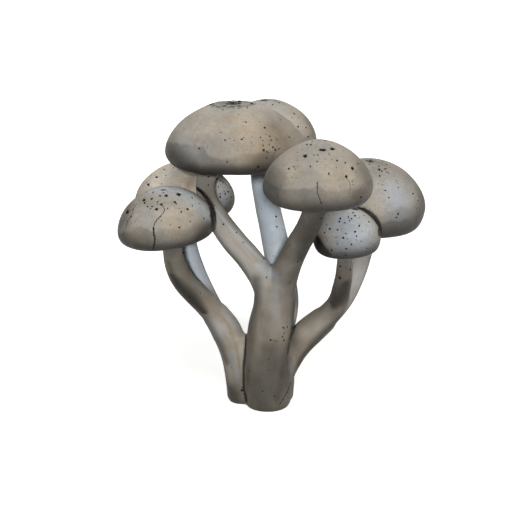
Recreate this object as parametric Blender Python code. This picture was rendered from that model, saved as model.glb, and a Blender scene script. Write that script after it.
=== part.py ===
"""Ghost fungus: a cluster of seven gilled caps on forked stems that share one foot.

Run with blender --background --python part.py, or from Blender's text editor. Metres, +Z up.
The origin is the middle of the foot's flat cut. -Y is the side with the front cap, +X is to the right.
"""

import math

import bmesh
import bpy
from mathutils import Euler, Vector

MM = 0.001

# Driving dimensions of the cluster.
GAP = 0.3 * MM  # left between pieces that touch
FOOT_TOP = 34.0 * MM  # height at which the four stalks leave the foot
FOOT_CHAMFER = 2.0 * MM  # the foot's lower edge draws in over this height and by nearly as much
STEM_STEP = 8.0 * MM  # spacing of the rings along a stem
STEM_SIDE_STEPS = 4  # a tube's bevel resolution, which gives 12 sides
SHARP_ANGLE = 60  # degrees; only corners steeper than this are shaded as edges
BELOW_GROUND = 1.0 * MM  # tubes start this far under the cut, then are trimmed flat

# Cap flesh, shared by all caps.
GILL_DEPTH = 2.6 * MM  # from a gill's edge up to the furrow beside it
DISC_ABOVE_MARGIN = 5.0 * MM  # the seat of the stem lies this far above the margin
SEAT_CLEARANCE = 1.0 * MM  # the seat is this much wider than its stem, all round
MARGIN_SHARE = 0.80  # the margin's radius as a share of the widest radius
LOBES = ((2, 0.018), (3, 0.012), (5, 0.006))  # waves round the outline and their heights
DOME_STEPS = 4  # rings from the widest circle to the top


class Cap:
    """One cap. Its own frame has its origin at the middle of its widest circle."""

    def __init__(self, name, centre, radius, height, margin, power, lean, seat, stem, gills, phase, flat=0.0):
        self.name = name
        self.centre = Vector(centre) * MM
        self.radius = radius * MM
        self.height = height * MM  # of the dome above the widest circle
        self.margin = margin * MM  # depth of the margin below the widest circle
        self.power = power  # 2 is an ellipse, and less is a straighter-sided cone
        self.turn = Euler([math.radians(angle) for angle in lean]).to_matrix()
        self.seat = Vector(seat) * MM  # sideways place of the stem's seat in the cap
        self.stem = stem * MM  # radius of the stem where it meets the cap
        self.gills = gills
        self.phase = phase  # turns the lobes, so that no two outlines are alike
        self.flat = flat  # radius of a flat worn top, as a share of the widest radius

    def place(self, x, y, z):
        return self.centre + self.turn @ Vector((x, y, z))

    def axis(self):
        return self.turn @ Vector((0, 0, 1))

    def disc_height(self):
        return DISC_ABOVE_MARGIN - self.margin

    def seat_centre(self):
        return self.place(self.seat.x, self.seat.y, self.disc_height())

    def outline(self, angle):
        """How far the outline stands out at this angle, as a share of the radius."""
        waves = (height * math.sin(count * angle + self.phase * count) for count, height in LOBES)
        return 1 + sum(waves)


# Name, centre, radius, dome height, margin depth, power, lean in degrees, place of the stem's seat,
# stem radius, number of gills, phase and flat top. Lengths are in millimetres.
CAPS = (
    Cap("cap_top", (-14.4, 0.0, 150.9), 38.9, 27.8, 7.2, 1.74, (0, 0, 0), (-12.0, -2.0), 5.2, 24, 0.3, 0.31),
    Cap("cap_front", (29.1, -52.0, 143.6), 27.9, 23.4, 7.6, 1.68, (4, -1, 0), (0.0, 0.0), 6.0, 20, 1.1),
    Cap("cap_back", (4.8, 68.0, 143.9), 30.5, 24.7, 8.8, 1.80, (-4, 2, 0), (-3.0, -1.0), 6.6, 20, 2.3),
    Cap("cap_left", (-51.3, -25.0, 114.0), 26.6, 21.9, 6.4, 1.82, (2, -6, 0), (1.5, 1.0), 5.0, 20, 3.0),
    Cap("cap_left_back", (-45.1, 34.0, 113.1), 29.4, 23.8, 8.6, 1.82, (-3, -4, 0), (0.0, 0.0), 5.2, 20, 4.2),
    Cap("cap_button", (47.6, -14.0, 104.9), 18.9, 17.2, 7.8, 1.70, (2, -3, 0), (-1.0, 0.0), 4.3, 16, 5.0),
    Cap("cap_right", (64.5, 38.0, 110.9), 34.7, 26.8, 12.5, 1.80, (3, 2, 0), (0.0, 0.0), 5.8, 22, 5.7),
)
CAP = {cap.name: cap for cap in CAPS}

# Routes of the stems: x, y, z and radius in millimetres. Each stalk rises from the foot, and each
# branch starts inside its stalk and ends in a cap.
STALKS = {
    "stalk_centre": (
        (4.2, -4.8, 2.0, 13.8), (4.2, -4.4, 12.0, 13.3), (3.4, -3.8, 30.0, 12.2),
        (5.4, -4.0, 48.0, 12.4), (8.0, -4.2, 62.0, 11.6), (8.9, -4.4, 74.0, 6.0),
    ),
    "stalk_left": (
        (-11.0, 0.8, 2.0, 8.6), (-12.6, 3.4, 14.0, 8.2), (-15.2, 6.2, 27.0, 8.2),
        (-19.8, 5.8, 41.0, 9.0), (-26.8, 4.4, 53.0, 7.8), (-31.5, 4.0, 60.0, 3.4),
    ),
    "stalk_right": (
        (11.2, 7.6, 2.0, 8.0), (12.0, 8.2, 12.0, 8.1), (17.0, 9.0, 24.0, 8.5), (22.6, 9.0, 33.0, 8.7),
        (29.4, 8.4, 40.4, 8.6), (37.6, 7.0, 48.6, 7.8), (43.0, 6.4, 55.0, 3.6),
    ),
}
BACK_STEM = (
    (5.0, 18.0, 2.0, 9.4), (6.4, 19.0, 12.0, 8.9), (9.8, 20.6, 30.0, 8.4), (14.6, 24.0, 52.0, 8.3),
    (12.4, 29.0, 70.0, 8.2), (9.0, 38.0, 87.0, 8.0), (4.4, 52.0, 106.0, 7.5), (1.0, 63.0, 123.0, 6.9),
)

# Flesh that fills the middle of the foot between the stalks.
FOOT_HEART = ((-2.0, 9.0, 2.0, 11.5), (-1.4, 9.6, 12.0, 10.4), (0.0, 10.6, 24.0, 7.6))

# Branch name: the stalk it grows from, the cap it carries, its route, and how far along it is cut.
BRANCHES = {
    "stem_top": ("stalk_centre", "cap_top", (
        (6.4, -4.2, 60.0, 7.4), (3.0, -4.2, 74.0, 8.0), (-6.0, -4.0, 88.4, 7.2), (-15.7, -3.6, 100.1, 7.0),
        (-24.6, -3.2, 113.2, 6.2), (-29.8, -3.0, 124.0, 5.4), (-30.6, -3.0, 134.0, 5.2)), 36.0),
    "stem_front": ("stalk_centre", "cap_front", (
        (10.0, -4.6, 60.0, 7.4), (12.6, -6.6, 76.0, 8.0), (16.2, -11.2, 89.0, 7.3), (20.6, -19.0, 101.5, 6.7),
        (25.0, -29.0, 113.5, 6.3), (28.0, -39.0, 125.0, 6.2)), 36.0),
    "stem_left": ("stalk_left", "cap_left", (
        (-24.5, 4.6, 48.5, 6.6), (-30.0, 2.0, 57.5, 6.9), (-37.6, -2.8, 67.6, 6.7), (-43.6, -7.6, 76.5, 6.4),
        (-47.4, -12.6, 86.5, 6.0), (-49.0, -18.0, 98.0, 5.2)), 24.0),
    "stem_left_back": ("stalk_left", "cap_left_back", (
        (-24.5, 5.0, 48.5, 6.2), (-29.4, 7.4, 57.0, 6.4), (-34.2, 12.6, 65.6, 6.2), (-38.8, 19.4, 75.0, 5.8),
        (-42.6, 26.8, 85.4, 5.5), (-44.4, 32.0, 96.0, 5.3)), 24.0),
    "stem_button": ("stalk_right", "cap_button", (
        (35.0, 7.4, 46.0, 6.2), (40.6, 5.0, 52.8, 6.4), (44.9, 0.2, 61.8, 5.8), (46.4, -5.0, 72.0, 5.2),
        (47.2, -10.4, 83.0, 4.7)), 22.0),
    "stem_right": ("stalk_right", "cap_right", (
        (35.0, 7.6, 46.0, 6.4), (41.2, 9.0, 51.6, 6.7), (48.0, 13.0, 58.2, 6.3), (54.4, 19.4, 67.4, 6.0),
        (59.8, 27.4, 79.0, 5.9), (63.2, 34.6, 90.0, 5.8)), 22.0),
}

# Colours of the plain materials, as linear red, green and blue.
CAP_BEIGE = (0.42, 0.37, 0.30)
STEM_GREY = (0.36, 0.33, 0.29)


def clear_scene():
    for thing in list(bpy.data.objects):
        bpy.data.objects.remove(thing, do_unlink=True)


def flesh_material(name, colour, roughness):
    material = bpy.data.materials.new(name)
    material.use_nodes = True
    shader = material.node_tree.nodes["Principled BSDF"]
    shader.inputs["Base Color"].default_value = (*colour, 1.0)
    shader.inputs["Roughness"].default_value = roughness
    shader.inputs["Metallic"].default_value = 0.0
    return material


def add_object(name, mesh, material):
    thing = bpy.data.objects.new(name, mesh)
    bpy.context.scene.collection.objects.link(thing)
    mesh.materials.clear()
    mesh.materials.append(material)
    mesh.shade_smooth()
    mesh.set_sharp_from_angle(angle=math.radians(SHARP_ANGLE))
    return thing


# Caps


def dome_rings(cap):
    """(share of the radius, height) of the dome's rings, from the top down to the widest circle."""
    steepest = math.radians(74)
    if cap.flat:
        steepest = math.acos(cap.flat ** (cap.power / 2))
    rings = []
    for step in range(DOME_STEPS, -1, -1):
        angle = steepest * step / DOME_STEPS
        share = math.cos(angle) ** (2 / cap.power)
        rise = cap.height * math.sin(angle) ** (2 / cap.power)
        rings.append((share, rise))
    return rings


def margin_rings(cap):
    """(share of the radius, height) of the rings that round in below the widest circle."""
    rings = []
    for degrees in (45, 90):
        angle = math.radians(degrees)
        share = MARGIN_SHARE + (1 - MARGIN_SHARE) * math.cos(angle)
        rings.append((share, -cap.margin * math.sin(angle)))
    return rings


def add_ring(bm, cap, share, height):
    """A ring of the dome or the margin, one vertex on each gill and one between."""
    ring = []
    count = 2 * cap.gills
    for step in range(count):
        angle = 2 * math.pi * step / count
        reach = cap.radius * share * cap.outline(angle)
        ring.append(bm.verts.new(cap.place(reach * math.cos(angle), reach * math.sin(angle), height)))
    return ring


def add_gill_ring(bm, cap, inward, edge, furrow):
    """A ring of the underside. inward is 0 at the margin and 1 at the stem's seat."""
    ring = []
    count = 2 * cap.gills
    seat_radius = cap.stem + SEAT_CLEARANCE
    for step in range(count):
        angle = 2 * math.pi * step / count
        outer = cap.radius * MARGIN_SHARE * cap.outline(angle)
        reach = outer + (seat_radius - outer) * inward
        x = cap.seat.x * inward + reach * math.cos(angle)
        y = cap.seat.y * inward + reach * math.sin(angle)
        height = (edge if step % 2 else furrow) - cap.margin
        ring.append(bm.verts.new(cap.place(x, y, height)))
    return ring


def bridge(bm, upper, lower):
    for step, first in enumerate(upper):
        following = (step + 1) % len(upper)
        bm.faces.new((first, lower[step], lower[following], upper[following]))


def build_cap(cap, material):
    bm = bmesh.new()
    rings = [add_ring(bm, cap, share, height) for share, height in dome_rings(cap) + margin_rings(cap)]
    lip = 0.6 * MM
    rings.append(add_gill_ring(bm, cap, 0.09, lip, lip))
    rings.append(add_gill_ring(bm, cap, 0.20, lip, lip + GILL_DEPTH))
    rings.append(add_gill_ring(bm, cap, 0.92, lip, DISC_ABOVE_MARGIN))
    rings.append(add_gill_ring(bm, cap, 1.0, DISC_ABOVE_MARGIN, DISC_ABOVE_MARGIN))
    for upper, lower in zip(rings, rings[1:]):
        bridge(bm, upper, lower)
    first = rings[0]
    top = dome_rings(cap)[0][1] if cap.flat else cap.height
    apex = bm.verts.new(cap.place(0, 0, top))
    for step, corner in enumerate(first):
        bm.faces.new((apex, corner, first[(step + 1) % len(first)]))
    bm.faces.new(reversed(rings[-1]))
    bmesh.ops.recalc_face_normals(bm, faces=bm.faces)
    mesh = bpy.data.meshes.new(cap.name)
    bm.to_mesh(mesh)
    bm.free()
    return add_object(cap.name, mesh, material)


# Stems


def smooth_route(points):
    """(place, radius) at even steps along a smooth curve through the points, which are in metres."""
    stations = [Vector(point) for point in points]
    before = stations[0] * 2 - stations[1]
    after = stations[-1] * 2 - stations[-2]
    padded = [before, *stations, after]
    route = []
    for a, b, c, d in zip(padded, padded[1:], padded[2:], padded[3:]):
        count = max(1, round((c.xyz - b.xyz).length / STEM_STEP))
        for step in range(count):
            t = step / count
            pull = (c - a) * t + (2 * a - 5 * b + 4 * c - d) * t**2 + (3 * b - a - 3 * c + d) * t**3
            route.append(b + pull / 2)
    route.append(stations[-1])
    return [(station.xyz, station.w) for station in route]


def in_metres(points):
    return [[value * MM for value in point] for point in points]


def seated(points, cap):
    """The route with its end standing square on the cap's seat, a gap below it."""
    top = cap.seat_centre() - cap.axis() * GAP
    below = top - cap.axis() * DISC_ABOVE_MARGIN
    return [*points, [*below, cap.stem], [*top, cap.stem]]


def tube_mesh(name, route):
    """A closed round tube along the route, as a mesh."""
    curve = bpy.data.curves.new(name, "CURVE")
    curve.dimensions = "3D"
    curve.bevel_depth = 1.0  # so that a point's radius is the tube's radius in metres
    curve.bevel_resolution = STEM_SIDE_STEPS
    curve.use_fill_caps = True
    spline = curve.splines.new("POLY")
    spline.points.add(len(route) - 1)
    for point, (place, radius) in zip(spline.points, route):
        point.co = (*place, 1.0)
        point.radius = radius
    guide = bpy.data.objects.new(name + "_guide", curve)
    mesh = bpy.data.meshes.new_from_object(guide)
    bpy.data.objects.remove(guide)
    bm = bmesh.new()
    bm.from_mesh(mesh)
    bmesh.ops.remove_doubles(bm, verts=bm.verts, dist=0.001 * MM)
    bmesh.ops.recalc_face_normals(bm, faces=bm.faces)
    bm.to_mesh(mesh)
    bm.free()
    return mesh


def split_route(route, distance):
    """The route's root, up to the distance, and the rest, a gap further on, with square ends."""
    walked = 0.0
    for index, ((place, radius), (following, _)) in enumerate(zip(route, route[1:])):
        walked += (following - place).length
        if walked >= distance:
            break
    cut, cut_radius = route[index + 1]
    before, after = route[index][0], route[index + 2][0]
    along = (after - before).normalized()
    straight = 2.0 * MM
    root = [*route[: index + 1]]
    root.append((cut - along * straight, cut_radius))
    root.append((cut - along * GAP / 2, cut_radius))
    rest = [(cut + along * GAP / 2, cut_radius), (cut + along * straight, cut_radius)]
    rest.extend(route[index + 2 :])
    return root, rest


def joined(name, meshes):
    """One mesh that is the union of closed meshes."""
    things = []
    for number, mesh in enumerate(meshes):
        thing = bpy.data.objects.new(f"{name}_{number}", mesh)
        bpy.context.scene.collection.objects.link(thing)
        things.append(thing)
    whole = things[0]
    for other in things[1:]:
        union = whole.modifiers.new(other.name, "BOOLEAN")
        union.operation = "UNION"
        union.solver = "EXACT"
        union.object = other
    graph = bpy.context.evaluated_depsgraph_get()
    mesh = bpy.data.meshes.new_from_object(whole.evaluated_get(graph))
    for thing in things:
        bpy.data.objects.remove(thing)
    return mesh


def trimmed(mesh, height, keep_above):
    """The mesh cut level at a height, with the cut closed."""
    bm = bmesh.new()
    bm.from_mesh(mesh)
    geometry = [*bm.verts, *bm.edges, *bm.faces]
    cut = bmesh.ops.bisect_plane(
        bm, geom=geometry, dist=0.001 * MM, plane_co=(0, 0, height), plane_no=(0, 0, 1),
        clear_inner=keep_above, clear_outer=not keep_above,
    )
    edges = [piece for piece in cut["geom_cut"] if isinstance(piece, bmesh.types.BMEdge)]
    bmesh.ops.holes_fill(bm, edges=edges)
    bmesh.ops.recalc_face_normals(bm, faces=bm.faces)
    bm.to_mesh(mesh)
    bm.free()
    return mesh


def rooted(route):
    """The route with a narrower end just under the ground, which chamfers the foot's lower edge."""
    place, radius = route[0]
    drop = FOOT_CHAMFER + BELOW_GROUND
    return [(place - Vector((0, 0, drop)), radius - drop), *route]


def stalk_routes():
    routes = {name: rooted(smooth_route(in_metres(points))) for name, points in STALKS.items()}
    routes["stem_back"] = rooted(smooth_route(seated(in_metres(BACK_STEM), CAP["cap_back"])))
    return routes


def build_foot(routes, material):
    """The fused foot: the lower ends of the four stalks in one lobed mass, cut flat."""
    lobes = [tube_mesh(name, route) for name, route in routes.items()]
    lobes.append(tube_mesh("foot_heart", rooted(smooth_route(in_metres(FOOT_HEART)))))
    mesh = joined("foot", lobes)
    mesh = trimmed(mesh, FOOT_TOP - GAP, keep_above=False)
    mesh = trimmed(mesh, 0.0, keep_above=True)
    return add_object("foot", mesh, material)


def build_stems(material):
    routes = stalk_routes()
    build_foot(routes, material)
    roots = {name: [] for name in STALKS}
    for name, (stalk, cap, points, cut) in BRANCHES.items():
        route = smooth_route(seated(in_metres(points), CAP[cap]))
        root, rest = split_route(route, cut * MM)
        roots[stalk].append(tube_mesh(name + "_root", root))
        add_object(name, tube_mesh(name, rest), material)
    for stalk, meshes in roots.items():
        forked = joined(stalk, [tube_mesh(stalk, routes[stalk]), *meshes])
        add_object(stalk, trimmed(forked, FOOT_TOP, keep_above=True), material)
    back = tube_mesh("stem_back", routes["stem_back"])
    add_object("stem_back", trimmed(back, FOOT_TOP, keep_above=True), material)


def main():
    clear_scene()
    cap_skin = flesh_material("cap_skin", CAP_BEIGE, 0.55)
    stem_skin = flesh_material("stem_skin", STEM_GREY, 0.6)
    for cap in CAPS:
        build_cap(cap, cap_skin)
    build_stems(stem_skin)


main()
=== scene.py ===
"""Ghost fungus: the skin, gills, marks and studio of a seven-capped cluster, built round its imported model.

Metres, +Z up, origin at the middle of the foot's flat cut, -Y towards the camera. Marks are placed by
the pixel at which they show in the 512 by 512 photograph: a line of sight through that pixel is followed
to the surface that it meets.
"""

import math
from dataclasses import dataclass

import bpy
import numpy as np
from bpy.props import FloatProperty, FloatVectorProperty, IntProperty, PointerProperty
from mathutils import Euler, Matrix, Vector, noise
from mathutils.bvhtree import BVHTree
from mathutils.kdtree import KDTree


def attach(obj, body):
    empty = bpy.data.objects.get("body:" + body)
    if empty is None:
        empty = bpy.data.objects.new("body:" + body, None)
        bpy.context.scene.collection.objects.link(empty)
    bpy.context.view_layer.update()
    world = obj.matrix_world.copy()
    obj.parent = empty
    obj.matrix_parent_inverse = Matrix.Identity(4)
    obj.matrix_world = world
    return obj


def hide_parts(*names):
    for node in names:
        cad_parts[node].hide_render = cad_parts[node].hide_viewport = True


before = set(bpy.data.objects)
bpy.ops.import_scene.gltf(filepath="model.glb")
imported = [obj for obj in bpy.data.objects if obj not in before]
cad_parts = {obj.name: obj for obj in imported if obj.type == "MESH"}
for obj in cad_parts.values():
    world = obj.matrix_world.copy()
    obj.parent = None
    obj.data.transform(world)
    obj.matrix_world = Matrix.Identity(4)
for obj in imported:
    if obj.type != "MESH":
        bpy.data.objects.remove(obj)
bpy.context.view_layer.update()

bl_info = {
    "name": "Ghost fungus",
    "version": (1, 0, 0),
    "blender": (4, 5, 0),
    "location": "3D View > Sidebar > Fungus",
    "description": "Grows the skin, gills and marks of a ghost fungus cluster and sets its studio",
    "category": "Object",
}

MM = 0.001

# The photograph's camera. It looks down by 17 degrees from 634 mm away.
PHOTO_SIZE = 512
FOCAL_PIXELS = 1109.0
CAMERA_PITCH = math.radians(17)
CAMERA_DISTANCE = 634 * MM
LOOK_AT = Vector((-2.6, 0.0, 89.3)) * MM
SENSOR_WIDTH = 36.0
PIXEL = 0.57 * MM  # what a pixel covers on the cluster

# Cap flesh, the same in every cap.
MARGIN_SHARE = 0.80  # the margin's radius as a share of the widest radius
DISC_ABOVE_MARGIN = 5.0 * MM  # the seat of the stem lies this far above the margin
SEAT_CLEARANCE = 1.0 * MM  # the seat is this much wider than its stem, all round
LOBES = ((2, 0.018), (3, 0.012), (5, 0.006))  # waves round the outline and their heights
BUMP_HEIGHT = 0.35 * MM  # how far the skin moves in and out
BUMP_SIZE = 15 * MM
DOME_POINTS = 120  # points on the line of a dome, before they are spaced evenly
ROLL_POINTS = 24  # and on its rolled margin

# The worn top of the largest cap.
DISH_DEPTH = 0.35 * MM  # how far it is eaten in
WORN_MIDDLE = Vector((-1.2, 0.0, 0.0)) * MM  # where its middle is, from the cap's own
RAGGED_SIZE = 3.2 * MM  # size of the ragged places in its rim, and their reach
RAGGED_REACH = 1.6 * MM
LAYER_SIZE = 3.4 * MM  # size and height of its torn layers
LAYER_HEIGHT = 0.4 * MM
LAYER_HOLES = 0.26  # a layer this high shows a dark hole

# The underside: how far in from the margin's edge to the seat, and how many millimetres up. A gill's root
# and its free edge are given in the same way.
UNDERSIDE = ((0.03, 0.2), (0.06, 0.8), (0.10, 2.2), (0.16, 3.2), (0.5, 4.2), (0.9, 4.9), (1.0, 5.0))
GILL_ROOT = ((0.0, 0.5), (0.06, 1.2), (0.16, 3.4), (0.5, 4.4), (1.0, 5.2))
GILL_EDGE = ((0.0, 0.45), (0.05, 0.5), (0.3, 0.35), (0.8, 0.3), (0.92, 0.0), (1.0, -2.2))
GILL_START = 0.045
GILL_END = 0.995
SHORT_GILL_END = (0.30, 0.62)  # every other gill ends somewhere between these

# Stems and their foot.
SMOOTHING_LOSS = 0.2 * MM  # what smoothing takes off a stem's radius
SMOOTHING_ROUNDS = 24
ROOT_DEPTH = 4 * MM  # a stem that starts at the ground goes this far below it, and is as much narrower there
SEATING = 2 * MM  # a stem ends this far inside its cap, and is a little wider there
SEATING_FLARE = 1 * MM
CENTRE_STEP = 2 * MM  # spacing of the places on a stem's centre line
BARK_REACH = 3.5 * MM  # how far a stem's bark coordinates fade into its neighbour's
STEM_HEIGHT = 140 * MM  # the painted shade that darkens the foot is placed by height as a share of this

# Bark coordinates and paint are stored on the mesh under these names.
# Of these paints, frost is partly a bluish bloom and partly painted light, and shade is painted shade.
PAINTS = ("pit", "frost_and_highlight", "ochre", "shade", "moss", "pepper")
BARK = "bark"
SHADE_BAND = "band"  # millimetres above the edge of a cap's lower band of painted shade

# How marks are cut and painted.
NARROW_STROKE = 8  # strokes under this many pixels wide are measured as they show
WIDE_SEARCH = 5 * MM  # neighbours further than this are found without the search tree
JUMP = 9 * MM  # a stroke isn't drawn over a gap in depth longer than this
BEAD_STEP = 0.45  # pixels between the beads of a crack
RAGGED = 0.45  # how far a spot's edge is torn, as a share of its radius
TEAR_SIZE = 0.7 * MM  # size of the tears round a spot
EDGE_STEP = 1.5  # pixels between the places on the edge of a band of painted shade
HIDDEN_WAVE = 3 * MM  # how far the painted shade band's edge waves on the side that the photograph hides
FINER = 3  # how many times each edge is cut round a mark

# Seeds of the random marks, and how many are strewn on the stems.
FIRST_CAP_SEED = 11
CAP_SEED_STEP = 10
STEM_SEED = 77
STREWN_ON_STEMS = 30
STEM_PITS = 0.6  # how deep the stems' pits are beside those of the caps

# Looks, the same in every skin.
FLESH_IOR = 1.4
EYE_POWER = 2.2  # linear light is about this power of what the eye sees
SPOT_CRISPNESS = 22.0
BRUSH_TURN = 12 * MM  # brushed streaks are as wide as on a ring of this radius
BRUSH_DRAWN = 0.35  # their height is drawn out by one over this
UPPER_SHADE_BAND = 7.0  # millimetres from the lower band's edge to the fainter one's, both painted shade
# Painted shade that darkens a cap towards its margin, by height.
RIM_SHADE_STOPS = ((0.0, 0.03), (0.08, 0.08), (0.20, 0.26), (0.36, 0.52), (0.54, 0.78), (0.9, 1.0))

# Sockets of a Mix node that mixes colours, and of its result.
MIX_UNDER = 6
MIX_OVER = 7
MIX_RESULT = 2

# The studio. A sun is its strength, its spread, its angle above the horizon and its turn from the camera's
# side towards the right, in degrees.
SUNS = {
    "front_light": (1.95, 4, 15.5, 0),
    "top_light": (1.65, 32, 60, 8),
    "back_light": (0.7, 30, 32, 180),
}
SKY_STOPS = ((0.0, 0.015), (0.45, 0.045), (0.6, 0.08), (1.0, 0.22))
FLOOR_GLOW = 0.68
FLOOR_DROP = 0.2 * MM  # the floor lies this far under the cut, so that the two don't flicker


@dataclass
class Cap:
    """One cap, in millimetres. Its own frame has its origin at the middle of its widest circle. The dome is
    a superellipse of the given power, flat is its worn disc's radius as a share of its own, and pale
    scales its skin's tone, as painted light where above one and painted shade where below."""

    node: str
    centre: tuple
    radius: float
    height: float
    margin: float
    power: float
    lean: tuple
    seat: tuple
    stem: float
    phase: float
    flat: float = 0.0
    pale: float = 1.0

    def frame(self):
        turn = Euler([math.radians(angle) for angle in self.lean]).to_matrix()
        return Matrix.Translation(Vector(self.centre) * MM) @ turn.to_4x4()

    def outline(self, angle):
        """How far the outline stands out at each angle, as a share of the radius."""
        return 1 + sum(height * np.sin(count * (angle + self.phase)) for count, height in LOBES)


CAPS = (
    # The pale values make up for how each cap is lit; the back left cap's, well above one, is painted light
    # in the top cap's shadow.
    Cap("cap_top", (-14.4, 0, 150.9), 38.9, 27.8, 7.2, 1.74, (0, 0, 0), (-12, -2), 5.2, 0.3, 0.31, 1.04),
    Cap("cap_front", (29.1, -52, 143.6), 27.9, 23.4, 7.6, 1.68, (4, -1, 0), (0, 0), 6.0, 1.1),
    Cap("cap_back", (4.8, 68, 143.9), 30.5, 24.7, 8.8, 1.80, (-4, 2, 0), (-3, -1), 6.6, 2.3),
    Cap("cap_left", (-51.3, -25, 114), 26.6, 21.9, 6.4, 1.82, (2, -6, 0), (1.5, 1), 5.0, 3.0, pale=0.92),
    Cap("cap_left_back", (-45.1, 34, 113.1), 29.4, 23.8, 8.6, 1.82, (-3, -4, 0), (0, 0), 5.2, 4.2, pale=1.5),
    Cap("cap_button", (47.6, -14, 104.9), 18.9, 17.2, 7.8, 1.70, (2, -3, 0), (-1, 0), 4.3, 5.0, pale=1.06),
    Cap("cap_right", (64.5, 38, 110.9), 34.7, 26.8, 12.5, 1.80, (3, 2, 0), (0, 0), 5.8, 5.7, pale=0.84),
)
CAP = {cap.node: cap for cap in CAPS}

# Stems, in millimetres: x, y, z and radius along each route, the cap that it carries if any, and how
# much frost, ochre and shade its skin has. The frost is partly bloom and partly painted light, and the
# shade is painted shade, most on the front stem under its cap.
STEMS = {
    "stalk_centre": (None, (0, 0.1, 0.09), (
        (4.2, -4.8, 2, 13.8), (4.2, -4.4, 12, 13.3), (3.4, -3.8, 30, 12.2), (5.4, -4, 48, 12.4),
        (8, -4.2, 62, 11.6), (8.9, -4.4, 72, 7.5),
    )),
    "stalk_left": (None, (0.1, 0.15, 0.04), (
        (-11, 0.8, 2, 8.6), (-12.6, 3.4, 14, 8.2), (-15.2, 6.2, 27, 8.2), (-19.8, 5.8, 41, 9),
        (-26.8, 4.4, 53, 7.8), (-30.5, 4.2, 58.5, 5),
    )),
    "stalk_right": (None, (0, 0.3, 0), (
        (11.2, 7.6, 2, 8), (12, 8.2, 12, 8.1), (17, 9, 24, 8.5), (22.6, 9, 33, 8.7),
        (29.4, 8.4, 40.4, 8.6), (37.6, 7, 48.6, 7.8), (42, 6.6, 53.5, 5.4),
    )),
    "stem_back": ("cap_back", (0.75, 0, 0), (
        (5, 18, 2, 9.4), (6.4, 19, 12, 8.9), (9.8, 20.6, 30, 8.4), (14.6, 24, 52, 8.3),
        (12.4, 29, 70, 8.2), (9, 38, 87, 8), (4.4, 52, 106, 7.5), (1, 63, 123, 6.9),
    )),
    "stem_top": ("cap_top", (0.15, 0.15, 0), (
        (6.4, -4.2, 60, 7.4), (3, -4.2, 74, 8), (-6, -4, 88.4, 7.2), (-15.7, -3.6, 100.1, 7),
        (-24.6, -3.2, 113.2, 6.2), (-29.8, -3, 124, 5.4), (-30.6, -3, 134, 5.2),
    )),
    "stem_front": ("cap_front", (0, 0, 0.2), (
        (10, -4.6, 60, 7.4), (12.6, -6.6, 76, 8), (16.2, -11.2, 89, 7.3), (20.6, -19, 101.5, 6.7),
        (25, -29, 113.5, 6.3), (28, -39, 125, 6.2),
    )),
    "stem_left": ("cap_left", (0, 0.05, 0.14), (
        (-24.5, 4.6, 48.5, 6.6), (-30, 2, 57.5, 6.9), (-37.6, -2.8, 67.6, 6.7), (-43.6, -7.6, 76.5, 6.4),
        (-47.4, -12.6, 86.5, 6), (-49, -18, 98, 5.2),
    )),
    "stem_left_back": ("cap_left_back", (0.75, 0, 0), (
        (-24.5, 5, 48.5, 6.2), (-29.4, 7.4, 57, 6.4), (-34.2, 12.6, 65.6, 6.2), (-38.8, 19.4, 75, 5.8),
        (-42.6, 26.8, 85.4, 5.5), (-44.4, 32, 96, 5.3),
    )),
    "stem_button": ("cap_button", (0, 0.05, 0.2), (
        (35, 7.4, 46, 6.2), (40.6, 5, 52.8, 6.4), (44.9, 0.2, 61.8, 5.8), (46.4, -5, 72, 5.2),
        (47.2, -10.4, 83, 4.7),
    )),
    "stem_right": ("cap_right", (0.25, 0.15, 0), (
        (35, 7.6, 46, 6.4), (41.2, 9, 51.6, 6.7), (48, 13, 58.2, 6.3), (54.4, 19.4, 67.4, 6),
        (59.8, 27.4, 79, 5.9), (63.2, 34.6, 90, 5.8),
    )),
}

# Flesh that joins the stems: the middle of the foot, the web beside the left stalk, the broad neck
# under the centre fork, and the right lobe of the foot.
FILLINGS = (
    ((-2, 9, 2, 11.5), (-1.4, 9.6, 12, 10.4), (0, 10.6, 24, 7.6)),
    ((-9.5, 0.5, 2, 7.5), (-10, 0.8, 16, 7.8), (-10.8, 1.6, 30, 7.6), (-12.5, 2.6, 40, 5.4)),
    ((7, -4.4, 50, 11.8), (8, -4.8, 62, 12.2), (7.9, -5.2, 72, 11.6), (7.6, -5.4, 76, 8.6)),
    ((13.4, 1, 2, 6.4), (13.8, 1.2, 14, 6.5), (13.8, 2.6, 26, 5.4), (13, 3, 36, 3.6)),
)

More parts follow.
